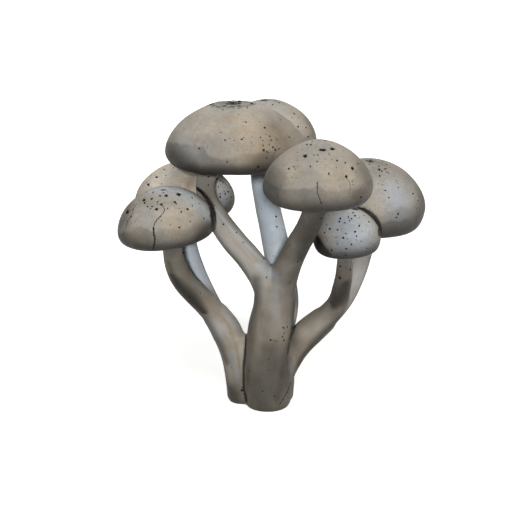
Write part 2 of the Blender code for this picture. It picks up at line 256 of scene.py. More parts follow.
# Marks by cap, as pixels of the photograph. A spot is x, y, width and height.
SPOTS = {
    "cap_top": (
        (232.5, 103.7, 14, 1.9), (211.6, 104, 5, 2.4), (252.2, 103.8, 4, 2), (217.4, 106.4, 2.4, 1.5),
        (224, 106, 4, 1.4), (229, 107, 2.2, 1.4), (233.6, 107.6, 2, 1.5), (240.2, 106.7, 3.2, 1.4),
        (246, 106.3, 2, 1.4), (247.4, 107.4, 1.6, 1.4), (229, 101.8, 3, 1.3), (239.6, 101.9, 3, 1.3),
        (246, 122, 1.6, 1.8), (265, 127.5, 2.2, 2), (225, 140, 1.6, 1.6), (199, 148.5, 2, 1.6),
        (264, 150.4, 2.6, 2.2), (275.6, 149.8, 2, 2.2), (263.4, 145.4, 1.4, 1.6),
        (269.5, 144.6, 1.4, 1.4), (260.6, 137.4, 1.5, 1.4), (258.6, 167.2, 2.6, 2.2),
        (255.6, 169.4, 1.2, 1.2), (222.8, 109.4, 1.8, 1.2), (196.5, 110.6, 1.8, 1.4),
        (289.5, 137.2, 1.4, 1.6), (227, 162.2, 1.6, 1.6), (266.8, 158.2, 1.8, 1.2), (271.5, 140, 2, 1.2),
        (277, 139.6, 2, 1), (241.8, 139.2, 2.6, 1.2), (234, 140.2, 1.6, 1), (221, 132.4, 2, 0.9),
        (259.5, 121.8, 1.2, 1), (243.6, 137.2, 1.2, 1), (268.6, 152.4, 1.2, 1.2),
        (279.4, 148.8, 1.2, 1.6), (281, 119.4, 1.4, 1.2),
    ),
    "cap_front": (
        (305, 155.7, 4.2, 3), (322.8, 149.4, 7, 2.8), (332.6, 148.4, 4.8, 3), (352.8, 168.1, 3.4, 3.4),
        (346.6, 176.3, 2.6, 3), (305, 139.3, 2, 1.4), (300.4, 142.2, 1.8, 1.4), (306.8, 144.3, 1.8, 1.6),
        (310.9, 144.3, 1.8, 1.6), (312, 141.4, 1.4, 1.2), (325, 140.3, 2.2, 1.2),
        (298.8, 140.6, 1.6, 1.2), (337.2, 160.2, 2, 1.8), (345.5, 162.6, 1.6, 1.6),
        (288.4, 168.4, 2, 1.8), (293.5, 166.4, 1.4, 1.6), (295.2, 169.2, 1.2, 1.2),
        (310.2, 166.2, 1.4, 1.6), (317.2, 161.4, 1.6, 1.4), (314, 155, 1.8, 1.2),
        (317.4, 154.6, 1.4, 1.6), (329, 173.4, 1.4, 2.6), (329.6, 154.4, 1.2, 1.2),
        (358.6, 163.6, 1.4, 1.4), (361.4, 197.4, 2, 2), (277.4, 196.8, 1.4, 1.4),
        (336.4, 167.6, 1.4, 1.2), (352.6, 181.2, 1.4, 1.2), (356.4, 172.2, 1.4, 1.2),
        (353.4, 184.4, 1.2, 1.2), (297.4, 152.4, 1.4, 1), (297.2, 160.2, 1.2, 1), (344, 150.6, 1.2, 1),
        (331.8, 159.6, 1.2, 1), (325.4, 159.2, 1.2, 1), (280.4, 186, 1.2, 1),
    ),
    "cap_back": (
        (264, 99.8, 7, 2.2), (256.2, 100, 3, 1.4), (272.6, 104.4, 1.6, 1.4), (294.4, 113.4, 1.8, 1.8),
        (298.4, 126.5, 2, 2), (306.4, 127.5, 1.8, 1.6), (308.6, 136.8, 2, 1.4), (279.4, 102.6, 2, 1.2),
        (298.4, 117.4, 1.2, 1), (300.6, 123, 1.2, 1), (292.4, 117.2, 1.2, 1), (276.2, 100.6, 2, 1.2),
    ),
    "cap_left": (
        (178.9, 193.7, 4.8, 3.4), (166.2, 195.3, 3.2, 2.8), (162.8, 189.5, 5, 1.5), (160, 195.5, 2, 1.6),
        (175, 201.6, 2.6, 2), (192.4, 197.4, 1.6, 1.6), (192.5, 205.4, 1.6, 1.6), (188, 209, 2.4, 2.2),
        (181.4, 211.6, 1.6, 1.8), (199.5, 203.4, 1.4, 1.2), (204.4, 218.5, 1.8, 2),
        (210.6, 216.2, 1.2, 1.4), (190.4, 221.4, 1.4, 1.4), (179.5, 227.4, 1.8, 1.8),
        (126.8, 211.7, 3.6, 4.4), (130.6, 216.2, 1.6, 2.2), (145.4, 192.6, 1.8, 1.8),
        (152.6, 192.6, 1.6, 1.4), (143.6, 199.6, 3.2, 3), (151.6, 198.4, 2, 2.2), (144.4, 202.6, 2.4, 2),
        (147.4, 206.4, 1.6, 1.6), (152.2, 206.4, 2.2, 1.6), (157.6, 201.6, 1.8, 1.6),
        (156.4, 208.8, 3, 2.4), (150.6, 208.4, 1.4, 1.4), (161.4, 204.2, 2, 2.2),
        (164.4, 208.8, 1.4, 1.6), (176.2, 203.4, 1.6, 1.6), (169.6, 187, 1.6, 1),
        (161.4, 220.6, 1.4, 1.2), (178.8, 245, 1.2, 1.4),
    ),
    "cap_left_back": (
        (156.4, 176.8, 3.4, 2), (147.6, 184.4, 3.2, 2), (163.8, 169.2, 2.2, 1.4), (173, 167.6, 1.6, 1.2),
        (165.6, 175.4, 1.4, 1.4), (161.4, 183.6, 1.4, 1.2), (170.6, 165.4, 1.6, 1.2), (181.2, 179, 1, 1),
        (218.6, 186.4, 1.4, 1.4), (220.6, 197, 2, 2), (220.4, 193.6, 1.6, 1.4), (228.6, 191.6, 1.8, 1.6),
        (225.6, 193.6, 1.6, 1.6), (214, 183.6, 1.4, 1.4), (221, 180.2, 1.8, 1.6), (226.4, 183.6, 2.2, 2),
        (218.4, 178.4, 1.4, 1.4), (223.4, 181.6, 1.4, 1.4), (230.6, 187.4, 1.4, 1.6),
        (224.4, 191, 1.4, 1.4), (217.4, 175.6, 1.4, 1.2), (231.6, 197.2, 1.4, 1.6),
        (222.4, 176.4, 1.4, 1.2),
    ),
    "cap_button": (
        (340, 218, 2.2, 2.2), (339.2, 221.4, 1.8, 1.8), (353.2, 212.4, 2.4, 1.5),
        (355.2, 215.5, 2.2, 1.8), (348.4, 216.8, 1.4, 2), (351.5, 218.4, 1.8, 1.7),
        (349.6, 220.5, 1.6, 1.4), (344.8, 222.6, 2, 1.4), (329.3, 228.7, 2, 2.2),
        (324.4, 232.4, 1.6, 1.8), (359.5, 225.8, 1.6, 2.2), (355.3, 231.6, 2.2, 2), (343, 237.7, 2.4, 2),
        (351.5, 244.5, 1.8, 1.8), (346, 249, 1.8, 1.8), (331.4, 250.2, 1.6, 2.2), (345.8, 255.4, 2, 1.4),
        (337.5, 229.4, 1.4, 1.8), (341.6, 228.8, 1.2, 1.2), (346, 233.2, 1.6, 1.4),
        (356.6, 235.8, 1.6, 1.6), (361.4, 241.6, 1.4, 1.4), (366.8, 248.4, 1.4, 1.4),
        (369.2, 221.6, 2.2, 1.4), (364.4, 215.6, 1.4, 1.2), (347.4, 238.8, 1.2, 1.2),
        (335.8, 237.2, 1.4, 1.4), (337.4, 243.6, 1.4, 1.2), (327.8, 215.4, 1.4, 1.2),
        (326.4, 224.6, 1.2, 1.2), (371.4, 243.6, 1.2, 1.2), (356.4, 240, 1.2, 1.2),
    ),
    "cap_right": (
        (370.4, 160, 3.6, 1.5), (371, 161.6, 5.4, 1.5), (366.9, 160.7, 2.4, 1.2),
        (379.3, 169.2, 2.4, 2.4), (381.8, 170.7, 1.8, 1.6), (385.6, 168.7, 3, 1.4),
        (386.8, 171.8, 1.4, 1.4), (388.8, 172.6, 1.4, 1.4), (378.8, 166, 1.6, 1.4),
        (368.6, 170.6, 1.6, 1.4), (390, 166.9, 1.4, 1.2), (382.6, 161.4, 1.6, 1.2),
        (398.4, 214, 1.7, 2.2), (396.8, 217.6, 1.8, 1.4), (389, 197.6, 1.8, 1.4), (385.4, 190.2, 2, 1.4),
        (398.4, 187.4, 1.4, 1.4), (413.4, 193.4, 1.6, 1.6), (419.4, 196.4, 1.4, 1.4),
        (418.4, 200.6, 1.4, 1.4), (379.8, 175.6, 1.4, 2), (408.4, 173.6, 2, 1.6), (415.8, 181.2, 2, 2),
        (386.4, 164.4, 1.8, 1.2), (392.4, 214.2, 1.2, 1.2), (396.4, 181, 1.2, 1.2),
        (369.6, 209.4, 1.2, 1.2),
    ),
}

# Cracks, as a width in pixels and the pixels that they run through.
CRACKS = {
    "cap_front": (
        (1, ((317.4, 182), (317.2, 187.5), (317.5, 193), (319.8, 199.6), (321.8, 204.8))),
        (0.7, ((321.8, 204.8), (322.4, 208.8))),
        (0.6, ((346.8, 177.5), (350.4, 183.6), (350.6, 188), (349.6, 193.8))),
    ),
    "cap_left": (
        (1.1, ((164.2, 211.4), (161, 215.4), (156.4, 220.2), (154.2, 224.2), (153.4, 228))),
        (1.9, ((153.4, 228), (153.4, 233.6), (154.9, 238.6), (154.4, 243.8), (153.5, 248.8))),
        (0.9, ((161.4, 204.2), (164.2, 208.2), (164.2, 211.4))),
        (0.8, ((130.4, 216.4), (127.6, 220.8), (125.4, 227.2), (123.7, 231.4), (123.5, 235.8))),
        (0.7, ((137, 203), (133.4, 208.4), (130.4, 216.4))),
    ),
    "cap_top": ((0.7, ((273.4, 156.6), (275.2, 153.4), (278.6, 149.4), (280.4, 148.2))),),
}

# The upper edge of each cap's lower band of painted shade, as pixels of the photograph.
SHADE_BAND_EDGES = {
    "cap_top": (
        (166.5, 142), (178, 143.6), (193.4, 145.4), (205, 148), (208.6, 156), (221, 159.6),
        (231.8, 158.8), (235.4, 154.3), (249.6, 153.4), (269, 151.6), (280, 149),
    ),
    "cap_front": (
        (266.5, 180), (275, 187), (290, 189.5), (305, 189), (317, 186.5), (321, 187), (323, 190),
        (329, 190), (333, 191.5), (340, 191), (345, 189), (351, 189), (357, 190), (360, 187), (362, 184),
        (365, 182), (371, 180.5),
    ),
    "cap_back": ((300, 140), (305, 137), (309, 135), (312, 132.5), (314.5, 131)),
    "cap_left": (
        (119.5, 235), (124, 233), (130.5, 230.5), (136.8, 227), (145.7, 228.3), (152.9, 231.4),
        (164.5, 228.8), (186, 229.6), (190, 229), (193, 223.4), (206.4, 219.8), (212.5, 221),
    ),
    "cap_left_back": ((139.5, 196), (220, 200.7), (226, 198.5), (232, 196.4)),
    "cap_button": ((316.5, 240), (322, 247), (335, 251), (350, 252.5), (365, 250), (375, 243), (379.5, 237)),
    "cap_right": ((372, 222), (382, 224), (390, 220.5), (400, 221.5), (412, 216), (422.5, 206)),
}

# Soft paint: its name, its strength, its width in pixels, and the pixels it runs through. The strength of
# shade is how much darker the eye sees it. Shade strokes are painted shade: darker sides and margins, and
# dark contact shadows where a cap lies against a neighbour. Frost strokes are partly a bluish bloom and
# partly painted light.
STROKES = {
    "cap_top": (
        ("frost_and_highlight", 0.45, 34, ((178, 148), (194, 156))),
        ("shade", 0.08, 72, ((190, 146), (240, 150))),
        ("frost_and_highlight", 0.2, 26, ((186, 132), (178, 140))),
        ("ochre", 0.5, 56, ((258, 134), (276, 146), (252, 156))),
        ("ochre", 0.28, 46, ((238, 124), (250, 142))),
        ("shade", 0.2, 46, ((276, 128), (286, 146))),
        ("shade", 0.46, 28, ((162, 150), (176, 162), (196, 170))),
        ("shade", 0.36, 18, ((200, 171), (236, 173), (262, 171))),
        ("shade", 0.18, 26, ((256, 166), (280, 156))),
        ("shade", 0.12, 34, ((164, 138), (176, 122))),
        ("ochre", 0.3, 16, ((236, 160), (256, 160), (268, 156))),
        ("shade", 0.8, 2.6, ((207, 105.4), (213, 103.4))),
        ("pepper", 0.6, 22, ((262, 148), (276, 143))),
    ),
    "cap_front": (
        ("moss", 0.2, 30, ((310, 148), (326, 146))),
        ("shade", 0.07, 56, ((304, 172), (336, 172))),
        ("ochre", 0.16, 30, ((330, 170), (345, 176))),
        ("shade", 0.17, 16, ((354, 196), (366, 188))),
        ("shade", 0.28, 30, ((268, 174), (276, 194))),
        ("shade", 0.2, 34, ((362, 166), (368, 180))),
        # Painted contact shadow on this cap's edge above the button cap.
        ("shade", 0.9, 3, ((350, 209.4), (356.5, 208))),
        ("pepper", 0.6, 13, ((296, 142), (314, 143), (328, 142))),
    ),
    "cap_back": (
        ("frost_and_highlight", 0.3, 14, ((270, 106), (280, 110))),
        ("moss", 0.55, 10, ((258, 99.5), (272, 100), (284, 104))),
        ("shade", 0.14, 22, ((308, 120), (315, 134))),
        ("pepper", 0.5, 8, ((258, 101), (270, 101))),
    ),
    "cap_left": (
        ("frost_and_highlight", 0.9, 26, ((152, 190), (168, 188), (186, 193), (198, 203), (207, 216))),
        ("frost_and_highlight", 0.3, 24, ((138, 215), (147, 219))),
        ("moss", 0.45, 16, ((144, 200), (158, 205), (172, 204))),
        ("ochre", 0.2, 22, ((172, 220), (184, 228))),
        ("shade", 0.42, 18, ((199, 238), (210, 226))),
        ("shade", 0.42, 22, ((118, 236), (132, 247), (150, 251))),
        ("shade", 0.26, 26, ((120, 226), (128, 208))),
        ("ochre", 0.3, 16, ((134, 238), (150, 240))),
        # Painted contact shadow along this cap's edge, beside the top cap's stem.
        ("shade", 1, 5, (
            (193, 187), (200, 191.6), (205.3, 198), (209.8, 205), (212.6, 213), (213.5, 221),
            (212.4, 229),
        )),
        ("pepper", 1, 20, ((142, 204), (156, 204), (172, 205))),
        ("pepper", 0.7, 9, ((134, 205), (126, 222))),
    ),
    "cap_left_back": (
        ("frost_and_highlight", 0.85, 26, ((220, 184), (226, 194), (224, 202))),
        ("ochre", 0.12, 30, ((180, 178), (190, 184))),
        ("shade", 0.22, 12, ((226, 208), (231, 202))),
        ("shade", 0.2, 12, ((188, 186), (193, 178))),
        ("pepper", 0.75, 18, ((218, 178), (226, 186), (228, 196))),
        ("pepper", 0.35, 18, ((150, 182), (166, 170))),
    ),
    "cap_button": (
        ("frost_and_highlight", 1, 50, ((340, 222), (356, 226), (360, 238), (342, 240))),
        # Painted shadow on the button's lower left, in the front stem's shade.
        ("shade", 1, 7.6, ((314.6, 235), (317.6, 243), (322, 250), (329, 255))),
        ("shade", 0.75, 14, ((316, 238), (320, 247), (327, 254))),
        # Painted contact shadow along this cap's edge, against the right cap.
        ("shade", 1, 4.4, (
            (353, 208.2), (359, 208.8), (365, 211.2), (370, 214.5), (374.3, 219), (377.7, 224.5),
            (379.5, 230), (379.8, 235),
        )),
    ),
    "cap_right": (
        ("frost_and_highlight", 0.8, 44, ((390, 188), (402, 200), (392, 206))),
        ("moss", 0.7, 13, ((362, 160), (376, 161.5), (386, 165))),
        ("moss", 0.3, 12, ((374, 168), (384, 182))),
        ("shade", 0.26, 28, ((420, 186), (424, 206), (416, 222))),
        ("ochre", 0.22, 20, ((366, 196), (370, 212))),
        ("ochre", 0.3, 12, ((364, 209), (374, 215))),
        # Painted contact shadow on the right cap, beside the button cap's edge.
        ("shade", 1, 3.8, (
            (358, 207.6), (364.4, 209.9), (370.3, 213.6), (375.2, 218.4), (378.6, 224.2), (380.2, 230),
            (380.6, 235.6),
        )),
        ("pepper", 0.7, 14, ((366, 162), (380, 167), (390, 170))),
    ),
}

# Marks on the stems, given in the same way.
STEM_SPOTS = (
    (276.4, 216.5, 1.8, 1.8), (277, 226.7, 1.8, 1.8), (321.4, 218.6, 3, 4.4), (298, 262.4, 1.6, 1.6),
    (266.6, 277.4, 1.6, 1.6), (283.5, 327.8, 1.7, 2.2), (287.6, 327, 1.6, 1.6), (284.4, 333.5, 1.4, 1.4),
    (282.6, 337, 1.6, 1.8), (284.4, 340.3, 1.6, 1.6), (270.6, 340.2, 1.8, 1.8), (268.5, 359.4, 1.5, 1.5),
    (274.2, 340.8, 1.4, 1.2), (242, 390.4, 3, 2.4), (242.6, 387.4, 1.4, 2), (340, 266.5, 1.9, 1.7),
    (350.6, 269.6, 1.6, 1.8), (339.4, 278, 2.8, 2.2), (330.5, 302, 1.8, 1.6), (189.5, 297, 1.8, 1.6),
    (183.4, 252.5, 2.2, 1.8), (217, 299, 1.4, 1.4), (208.4, 177, 1.6, 1.8), (208.4, 185.2, 1.5, 1.6),
    (223.4, 224.4, 1.6, 1.8), (236.6, 232.4, 1.5, 1.5), (243.4, 242.4, 1.4, 1.4),
    (290.4, 383.4, 1.7, 1.7), (282.4, 373.4, 1.2, 1.2), (249.2, 371.4, 1.4, 1.2), (262.4, 391, 1.6, 1.4),
    (274.4, 396.4, 1.4, 1.4), (256.4, 398.2, 1.4, 1.2), (345.4, 267.4, 1.2, 1.2), (264, 258.4, 1.4, 1.4),
    (268.8, 370.4, 1.2, 1.2), (276.8, 341.6, 1.6, 1.2), (214.6, 205.6, 1.4, 1.4),
    (200.4, 293.6, 1.3, 1.3), (206, 313.4, 1.2, 1.2),
)
STEM_CRACKS = (
    (1.1, ((246.2, 393.6), (246.6, 398), (247.4, 405))),
    (1.1, ((290.2, 383.6), (287.6, 391.6), (283.6, 398.6), (279.2, 405.6))),
)
STEM_STROKES = (
    ("ochre", 0.7, 3.4, (
        (205, 307), (214, 311), (222.7, 318), (229, 326), (233.6, 338), (237.4, 350), (239.4, 368),
    )),
    ("ochre", 0.45, 3.6, ((230, 236), (238, 246), (246, 254), (254, 262))),
    ("ochre", 0.5, 5, ((206, 186), (208, 196), (214, 208))),
    ("ochre", 0.6, 3.4, ((297.4, 304), (296.8, 320), (294.4, 330))),
    ("ochre", 0.4, 3, ((245.4, 332), (244.2, 345))),
    ("ochre", 0.35, 8, ((280, 290), (284, 305), (282, 318))),
    ("ochre", 0.3, 5, ((298, 350), (300, 338), (304, 330))),
    ("ochre", 0.3, 4, ((288, 352), (291, 362))),
    # Frost along the top edge of the top cap's stem, partly a painted highlight.
    ("frost_and_highlight", 0.55, 3.4, ((216, 210), (232, 230), (246, 244), (260, 258), (272, 264.6))),
    ("frost_and_highlight", 0.25, 5, ((210, 292), (222, 306), (234, 320), (242, 331), (247, 331))),
    ("frost_and_highlight", 0.3, 14, ((233, 352), (236, 376))),
    # Painted highlight down the trunk's middle.
    ("frost_and_highlight", 0.2, 16, ((272, 272), (277, 290), (276, 316))),
    ("frost_and_highlight", 0.3, 4, ((292, 372), (294, 358))),
    ("frost_and_highlight", 0.15, 8, ((190, 272), (197, 284), (206, 294))),
    # Painted light on the crotch of the centre fork.
    ("frost_and_highlight", 0.5, 16, ((258, 266), (268, 270), (276, 275))),
    # Painted light on the back stem, where the caps above shade it.
    ("frost_and_highlight", 1, 36, ((262, 186), (267, 208), (272, 228))),
    ("ochre", 0.5, 24, ((204, 300), (222, 320))),
    # The shade strokes from here are painted shade: the trunk's and stalks' edges, the front stem under its
    # cap, the bends, the creases and the foot.
    ("shade", 0.1, 26, ((204, 300), (222, 320))),
    ("shade", 0.36, 24, (
        (256, 280), (256.6, 290), (255.6, 302), (253, 318), (251, 334), (249, 356), (248, 380),
    )),
    ("shade", 0.4, 20, ((297, 286), (295, 306), (292, 328))),
    ("shade", 0.57, 30, ((302, 258), (307, 245), (313, 231), (320, 216))),
    ("shade", 0.34, 22, ((290, 282), (297, 266))),
    ("shade", 0.41, 64, ((270, 352), (268, 374), (264, 404))),
    ("shade", 0.4, 38, ((290, 336), (287, 352), (283, 370), (276, 398))),
    ("shade", 0.24, 36, ((262, 316), (268, 336))),
    ("shade", 0.75, 20, ((172, 276), (178, 286), (189, 298), (203, 312))),
    ("shade", 0.34, 15, (
        (168.4, 262), (171.8, 274), (182, 290), (198, 308), (209, 325), (219.6, 344), (227, 362),
    )),
    ("shade", 0.24, 24, ((208, 206), (206, 190), (206, 178))),
    ("shade", 0.34, 28, ((345, 262), (343, 280), (338, 298))),
    ("shade", 0.64, 28, ((346, 284), (342, 296), (334, 305))),
    ("shade", 0.5, 14, ((343.6, 312), (333.4, 324), (317.6, 340.4), (303.4, 356.4), (298.8, 365))),
    ("shade", 0.44, 24, ((231, 390), (236, 400))),
    ("shade", 0.75, 2.4, ((246.6, 332), (245.4, 350), (243.6, 370), (243.8, 388), (246, 402))),
    ("shade", 0.55, 2.8, ((296, 322), (293.4, 331), (289.4, 340), (287.6, 354))),
    # Painted contact shadow on the top cap's stem, beside the left cap's edge.
    ("shade", 1, 3.8, (
        (195, 187), (201.6, 191.8), (206.8, 198), (211, 205), (213.6, 213), (214.3, 221), (213.6, 229),
    )),
)


# Colours, as in a paint box: sRGB hex turned to linear light by one function.
def linear(code):
    """Linear red, green and blue of an sRGB hex colour."""
    parts = [int(code[i : i + 2], 16) / 255 for i in (1, 3, 5)]
    return tuple(v / 12.92 if v <= 0.04045 else ((v + 0.055) / 1.055) ** 2.4 for v in parts)


def length(name, description, default, smallest, largest):
    """A length in millimetres that a user may change."""
    return FloatProperty(
        name=name, description=description, default=default * MM, min=smallest * MM, max=largest * MM,
        subtype="DISTANCE", unit="LENGTH",
    )


class FungusSizes(bpy.types.PropertyGroup):
    """Sizes that a user may change."""

    skin_step: length("Skin step", "Spacing of the vertices on a cap", 0.71, 0.3, 3)
    stem_step: length("Stem step", "Voxel size of the stems' skin", 0.80, 0.4, 3)
    fibre_height: length("Fibre height", "Height of the lengthwise fibres on the stems", 0.13, 0, 1)
    gill_spacing: length("Gill spacing", "Distance between full gills at the margin", 1.9, 1, 6)
    gill_thickness: length("Gill thickness", "Thickness of a gill's plate", 0.38, 0.1, 2)
    pit_depth: length("Pit depth", "Depth of the widest pits in the caps", 0.9, 0, 3)
    strewn_spots: IntProperty(
        name="Strewn spots", description="Small dark spots strewn on the side that the photograph hides",
        default=26, min=0, max=200,
    )


def colour(name, description, code):
    return FloatVectorProperty(
        name=name, description=description, subtype="COLOR", size=3, min=0, max=1, default=linear(code)
    )


class FungusColours(bpy.types.PropertyGroup):
    """Colours of the skin, flesh and stains."""

    cap_beige: colour("Cap beige", "Warm beige of a cap's upper skin", "#b7ad9e")
    cap_grey: colour("Cap grey", "Greyer beige between the warm patches", "#a39d94")
    stem_brown: colour("Stem brown", "Grey-brown skin of the stems", "#9c9385")
    stem_pale: colour("Stem pale", "Paler skin high on the stems", "#b4ada2")
    # The frost colours are a bluish bloom and, where frost is laid on places in shade, painted light.
    cap_frost_and_highlight: colour("Cap frost", "Bluish-white bloom on the caps", "#b4bbc1")
    stem_frost_and_highlight: colour("Stem frost", "Bluish-white bloom on the stems", "#d0deeb")
    ochre: colour("Ochre", "Tan and ochre stains", "#a38d6d")
    moss: colour("Moss", "Green-grey of the worn tops", "#7d7e70")
    umber: colour("Umber", "Brown of the fine peppering", "#6e5740")
    # Near-black of the pits, spots and cracks, and the colour that painted shade darkens towards.
    pit_and_shade_black: colour("Soot", "Near-black of pits, spots and cracks", "#0d0b0a")
    gill_cream: colour("Gill cream", "Cream of the gills", "#d2c8b0")
    floor_white: colour("Floor white", "The studio's pale floor", "#f1f1ef")


# Helpers for working as by hand


def deselect():
    """Leaves edit mode with nothing selected."""
    if bpy.context.object and bpy.context.object.mode != "OBJECT":
        bpy.ops.object.mode_set(mode="OBJECT")
    bpy.ops.object.select_all(action="DESELECT")


def take(piece):
    """Makes this the only selected and the active object."""
    deselect()
    piece.select_set(True)
    bpy.context.view_layer.objects.active = piece


def edit_all():
    """Opens the active mesh in edit mode with all of it selected."""
    bpy.ops.object.mode_set(mode="EDIT")
    bpy.ops.mesh.select_all(action="SELECT")


def joined(pieces, name):
    """Joins meshes into one with this name."""
    deselect()
    for piece in pieces:
        piece.select_set(True)
    bpy.context.view_layer.objects.active = pieces[0]
    bpy.ops.object.join()
    bpy.context.object.name = name
    return bpy.context.object


def vectors(items, name):
    """A vector that each vertex or face has, such as its place or its normal, as rows."""
    values = np.empty(len(items) * 3, np.float32)
    items.foreach_get(name, values)
    return values.reshape(-1, 3).astype(float)


def points_of(piece):
    return vectors(piece.data.vertices, "co")


def normals_of(piece):
    return vectors(piece.data.vertices, "normal")


def set_points(piece, points):
    piece.data.vertices.foreach_set("co", points.astype(np.float32).ravel())
    piece.data.update()


def store(piece, name, values):
    """Keeps one number for each vertex under a name that the materials read."""
    layer = piece.data.attributes.get(name) or piece.data.attributes.new(name, "FLOAT", "POINT")
    layer.data.foreach_set("value", values.astype(np.float32))


def smooth_step(value):
    value = np.clip(value, 0.0, 1.0)
    return value * value * (3 - 2 * value)


def walked_along(line):
    """The distance from a polyline's start to each of its points."""
    return np.concatenate(([0.0], np.cumsum(np.linalg.norm(np.diff(line, axis=0), axis=1))))


def evenly(line, step):
    """The polyline's points, spaced evenly along it."""
    line = np.asarray(line, float)
    walked = walked_along(line)
    count = max(2, round(walked[-1] / step) + 1)
    places = np.linspace(0.0, walked[-1], count)
    return np.column_stack([np.interp(places, walked, column) for column in line.T])


def from_segment(points, first, last):
    """How far along a segment each point lies, from 0 to 1, and its distance from the segment."""
    span = last - first
    share = np.clip((points - first) @ span / max(span @ span, 1e-12), 0.0, 1.0)
    return share, np.linalg.norm(points - first - share[:, None] * span, axis=1)


# The photograph's camera


def camera_turn():
    return Euler((math.radians(90) - CAMERA_PITCH, 0, 0)).to_matrix()


def camera_place():
    return LOOK_AT + camera_turn() @ Vector((0, 0, CAMERA_DISTANCE))


def pixels_of(points):
    """Where points in the row's frame show in the photograph, as pixels."""
    seen = (points - np.array(camera_place())) @ np.array(camera_turn())
    across, up, away = seen.T
    return PHOTO_SIZE / 2 + FOCAL_PIXELS * np.column_stack((-across / away, up / away))


def sight_line(x, y):
    """Direction from the camera through a pixel."""
    half = PHOTO_SIZE / 2
    return (camera_turn() @ Vector((x - half, half - y, -FOCAL_PIXELS))).normalized()


# Marks


class Marking:
    """Paints marks on a piece's vertices, where the photograph's pixels fall on it."""

    def __init__(self, piece):
        self.piece = piece
        self.measure()

    def measure(self):
        """Reads the mesh again, after it has changed."""
        self.points = points_of(self.piece)
        self.pixels = pixels_of(self.points)
        self.tree = KDTree(len(self.points))
        for index, point in enumerate(self.points):
            self.tree.insert(point, index)
        self.tree.balance()
        faces = [tuple(face.vertices) for face in self.piece.data.polygons]
        self.surface = BVHTree.FromPolygons(self.points, faces)
        self.paint = {name: np.zeros(len(self.points)) for name in PAINTS}
        self.depth = np.zeros(len(self.points))

    def hit(self, x, y):
        return self.surface.ray_cast(camera_place(), sight_line(x, y))[0]

    def near(self, place, reach):
        if reach > WIDE_SEARCH:
            return np.flatnonzero(np.linalg.norm(self.points - np.array(place), axis=1) < reach)
        return np.array([index for _, index, _ in self.tree.find_range(place, reach)], int)

    def lay(self, name, found, value, depth=0.0):
        """Lays paint on some vertices where it is stronger than what they have, and sinks them."""
        self.paint[name][found] = np.maximum(self.paint[name][found], value)
        self.depth[found] = np.maximum(self.depth[found], value * depth)

    def spot(self, x, y, width, height, depth, strength):
        """A dark hollow that shows as an ellipse in the photograph."""
        place = self.hit(x, y)
        if place is None:
            return
        found = self.near(place, max(width, height) * PIXEL * 0.75 + 0.25 * MM)
        if not len(found):
            return
        across = (self.pixels[found, 0] - x) / (width / 2)
        down = (self.pixels[found, 1] - y) / (height / 2)
        torn = np.array([noise.noise(point) for point in self.points[found] / TEAR_SIZE])
        value = smooth_step((1.28 - np.hypot(across, down) + RAGGED * torn) / RAGGED)
        self.lay("pit", found, value * strength, depth)

    def speck(self, place, radius, depth):
        """A round dark hollow at a place in the row's frame."""
        found = self.near(place, radius * 1.4)
        if not len(found):
            return
        away = np.linalg.norm(self.points[found] - np.array(place), axis=1)
        self.lay("pit", found, smooth_step((1.3 - away / radius) / 0.55), depth)

    def stroke(self, name, strength, width, line):
        """Soft paint along a line of pixels. A narrow stroke is as wide as it shows, round the edge too, and
        its ends taper."""
        narrow = width < NARROW_STROKE
        pixels = evenly(line, max(1.0, width / 6))
        places = [self.hit(x, y) for x, y in pixels]
        for number in range(len(pixels) - 1):
            first, last = places[number : number + 2]
            if first is None or last is None or (last - first).length > JUMP:
                continue
            reach = width / 2 * PIXEL
            found = self.near((first + last) / 2, (last - first).length / 2 + reach * 2.2)
            if not len(found):
                continue
            if narrow:
                share, away = from_segment(self.pixels[found], pixels[number], pixels[number + 1])
                away = away * PIXEL
            else:
                share, away = from_segment(self.points[found], np.array(first), np.array(last))
            taper = 0.55 + 0.45 * np.sin(math.pi * (number + share) / (len(pixels) - 1))
            away = away / (reach * taper)
            value = strength * (smooth_step(1.6 - away) if narrow else np.exp(-1.1 * away**2))
            self.lay(name, found, value)

    def store(self):
        for name, values in self.paint.items():
            store(self.piece, name, values)


def crack_beads(width, line):
    """A crack as a string of small spots whose widths waver, so that it looks torn."""
    beads = []
    for step, (x, y) in enumerate(evenly(line, BEAD_STEP)):
        waver = 0.72 + 0.55 * noise.noise(Vector((x * 0.9, y * 0.9, width)))
        side = 0.35 * math.sin(step * 0.8 + width * 9)
        beads.append((x + side, y, max(0.45, width * waver), max(0.7, width * waver)))
    return beads


def refine(piece, marking, spots):
    """Divides the faces round each spot, so that a small mark has a crisp edge and a real hollow."""
    faces = piece.data.polygons
    tree = KDTree(len(faces))
    for index, centre in enumerate(vectors(faces, "center")):
        tree.insert(centre, index)
    tree.balance()
    chosen = np.zeros(len(faces), bool)
    for place, reach in spots:
        for _, index, _ in tree.find_range(place, reach):
            chosen[index] = True
    take(piece)
    bpy.ops.object.mode_set(mode="EDIT")
    bpy.ops.mesh.select_mode(type="FACE")
    bpy.ops.mesh.select_all(action="DESELECT")
    bpy.ops.object.mode_set(mode="OBJECT")
    faces.foreach_set("select", chosen)
    bpy.ops.object.mode_set(mode="EDIT")
    bpy.ops.mesh.subdivide(number_cuts=FINER)
    bpy.ops.mesh.select_mode(type="VERT")
    bpy.ops.object.mode_set(mode="OBJECT")
    marking.measure()


def hidden_places(piece, count, seed):
    """Places strewn on the side of a piece that faces away from the camera."""
    rng = np.random.default_rng(seed)
    points = points_of(piece)
    normals = normals_of(piece)
    away = np.einsum("ij,ij->i", points - np.array(camera_place()), normals) > 0
    free = np.flatnonzero(away & (normals[:, 2] > -0.2))
    if not len(free):
        return []
    return [Vector(points[index]) for index in rng.choice(free, size=count)]


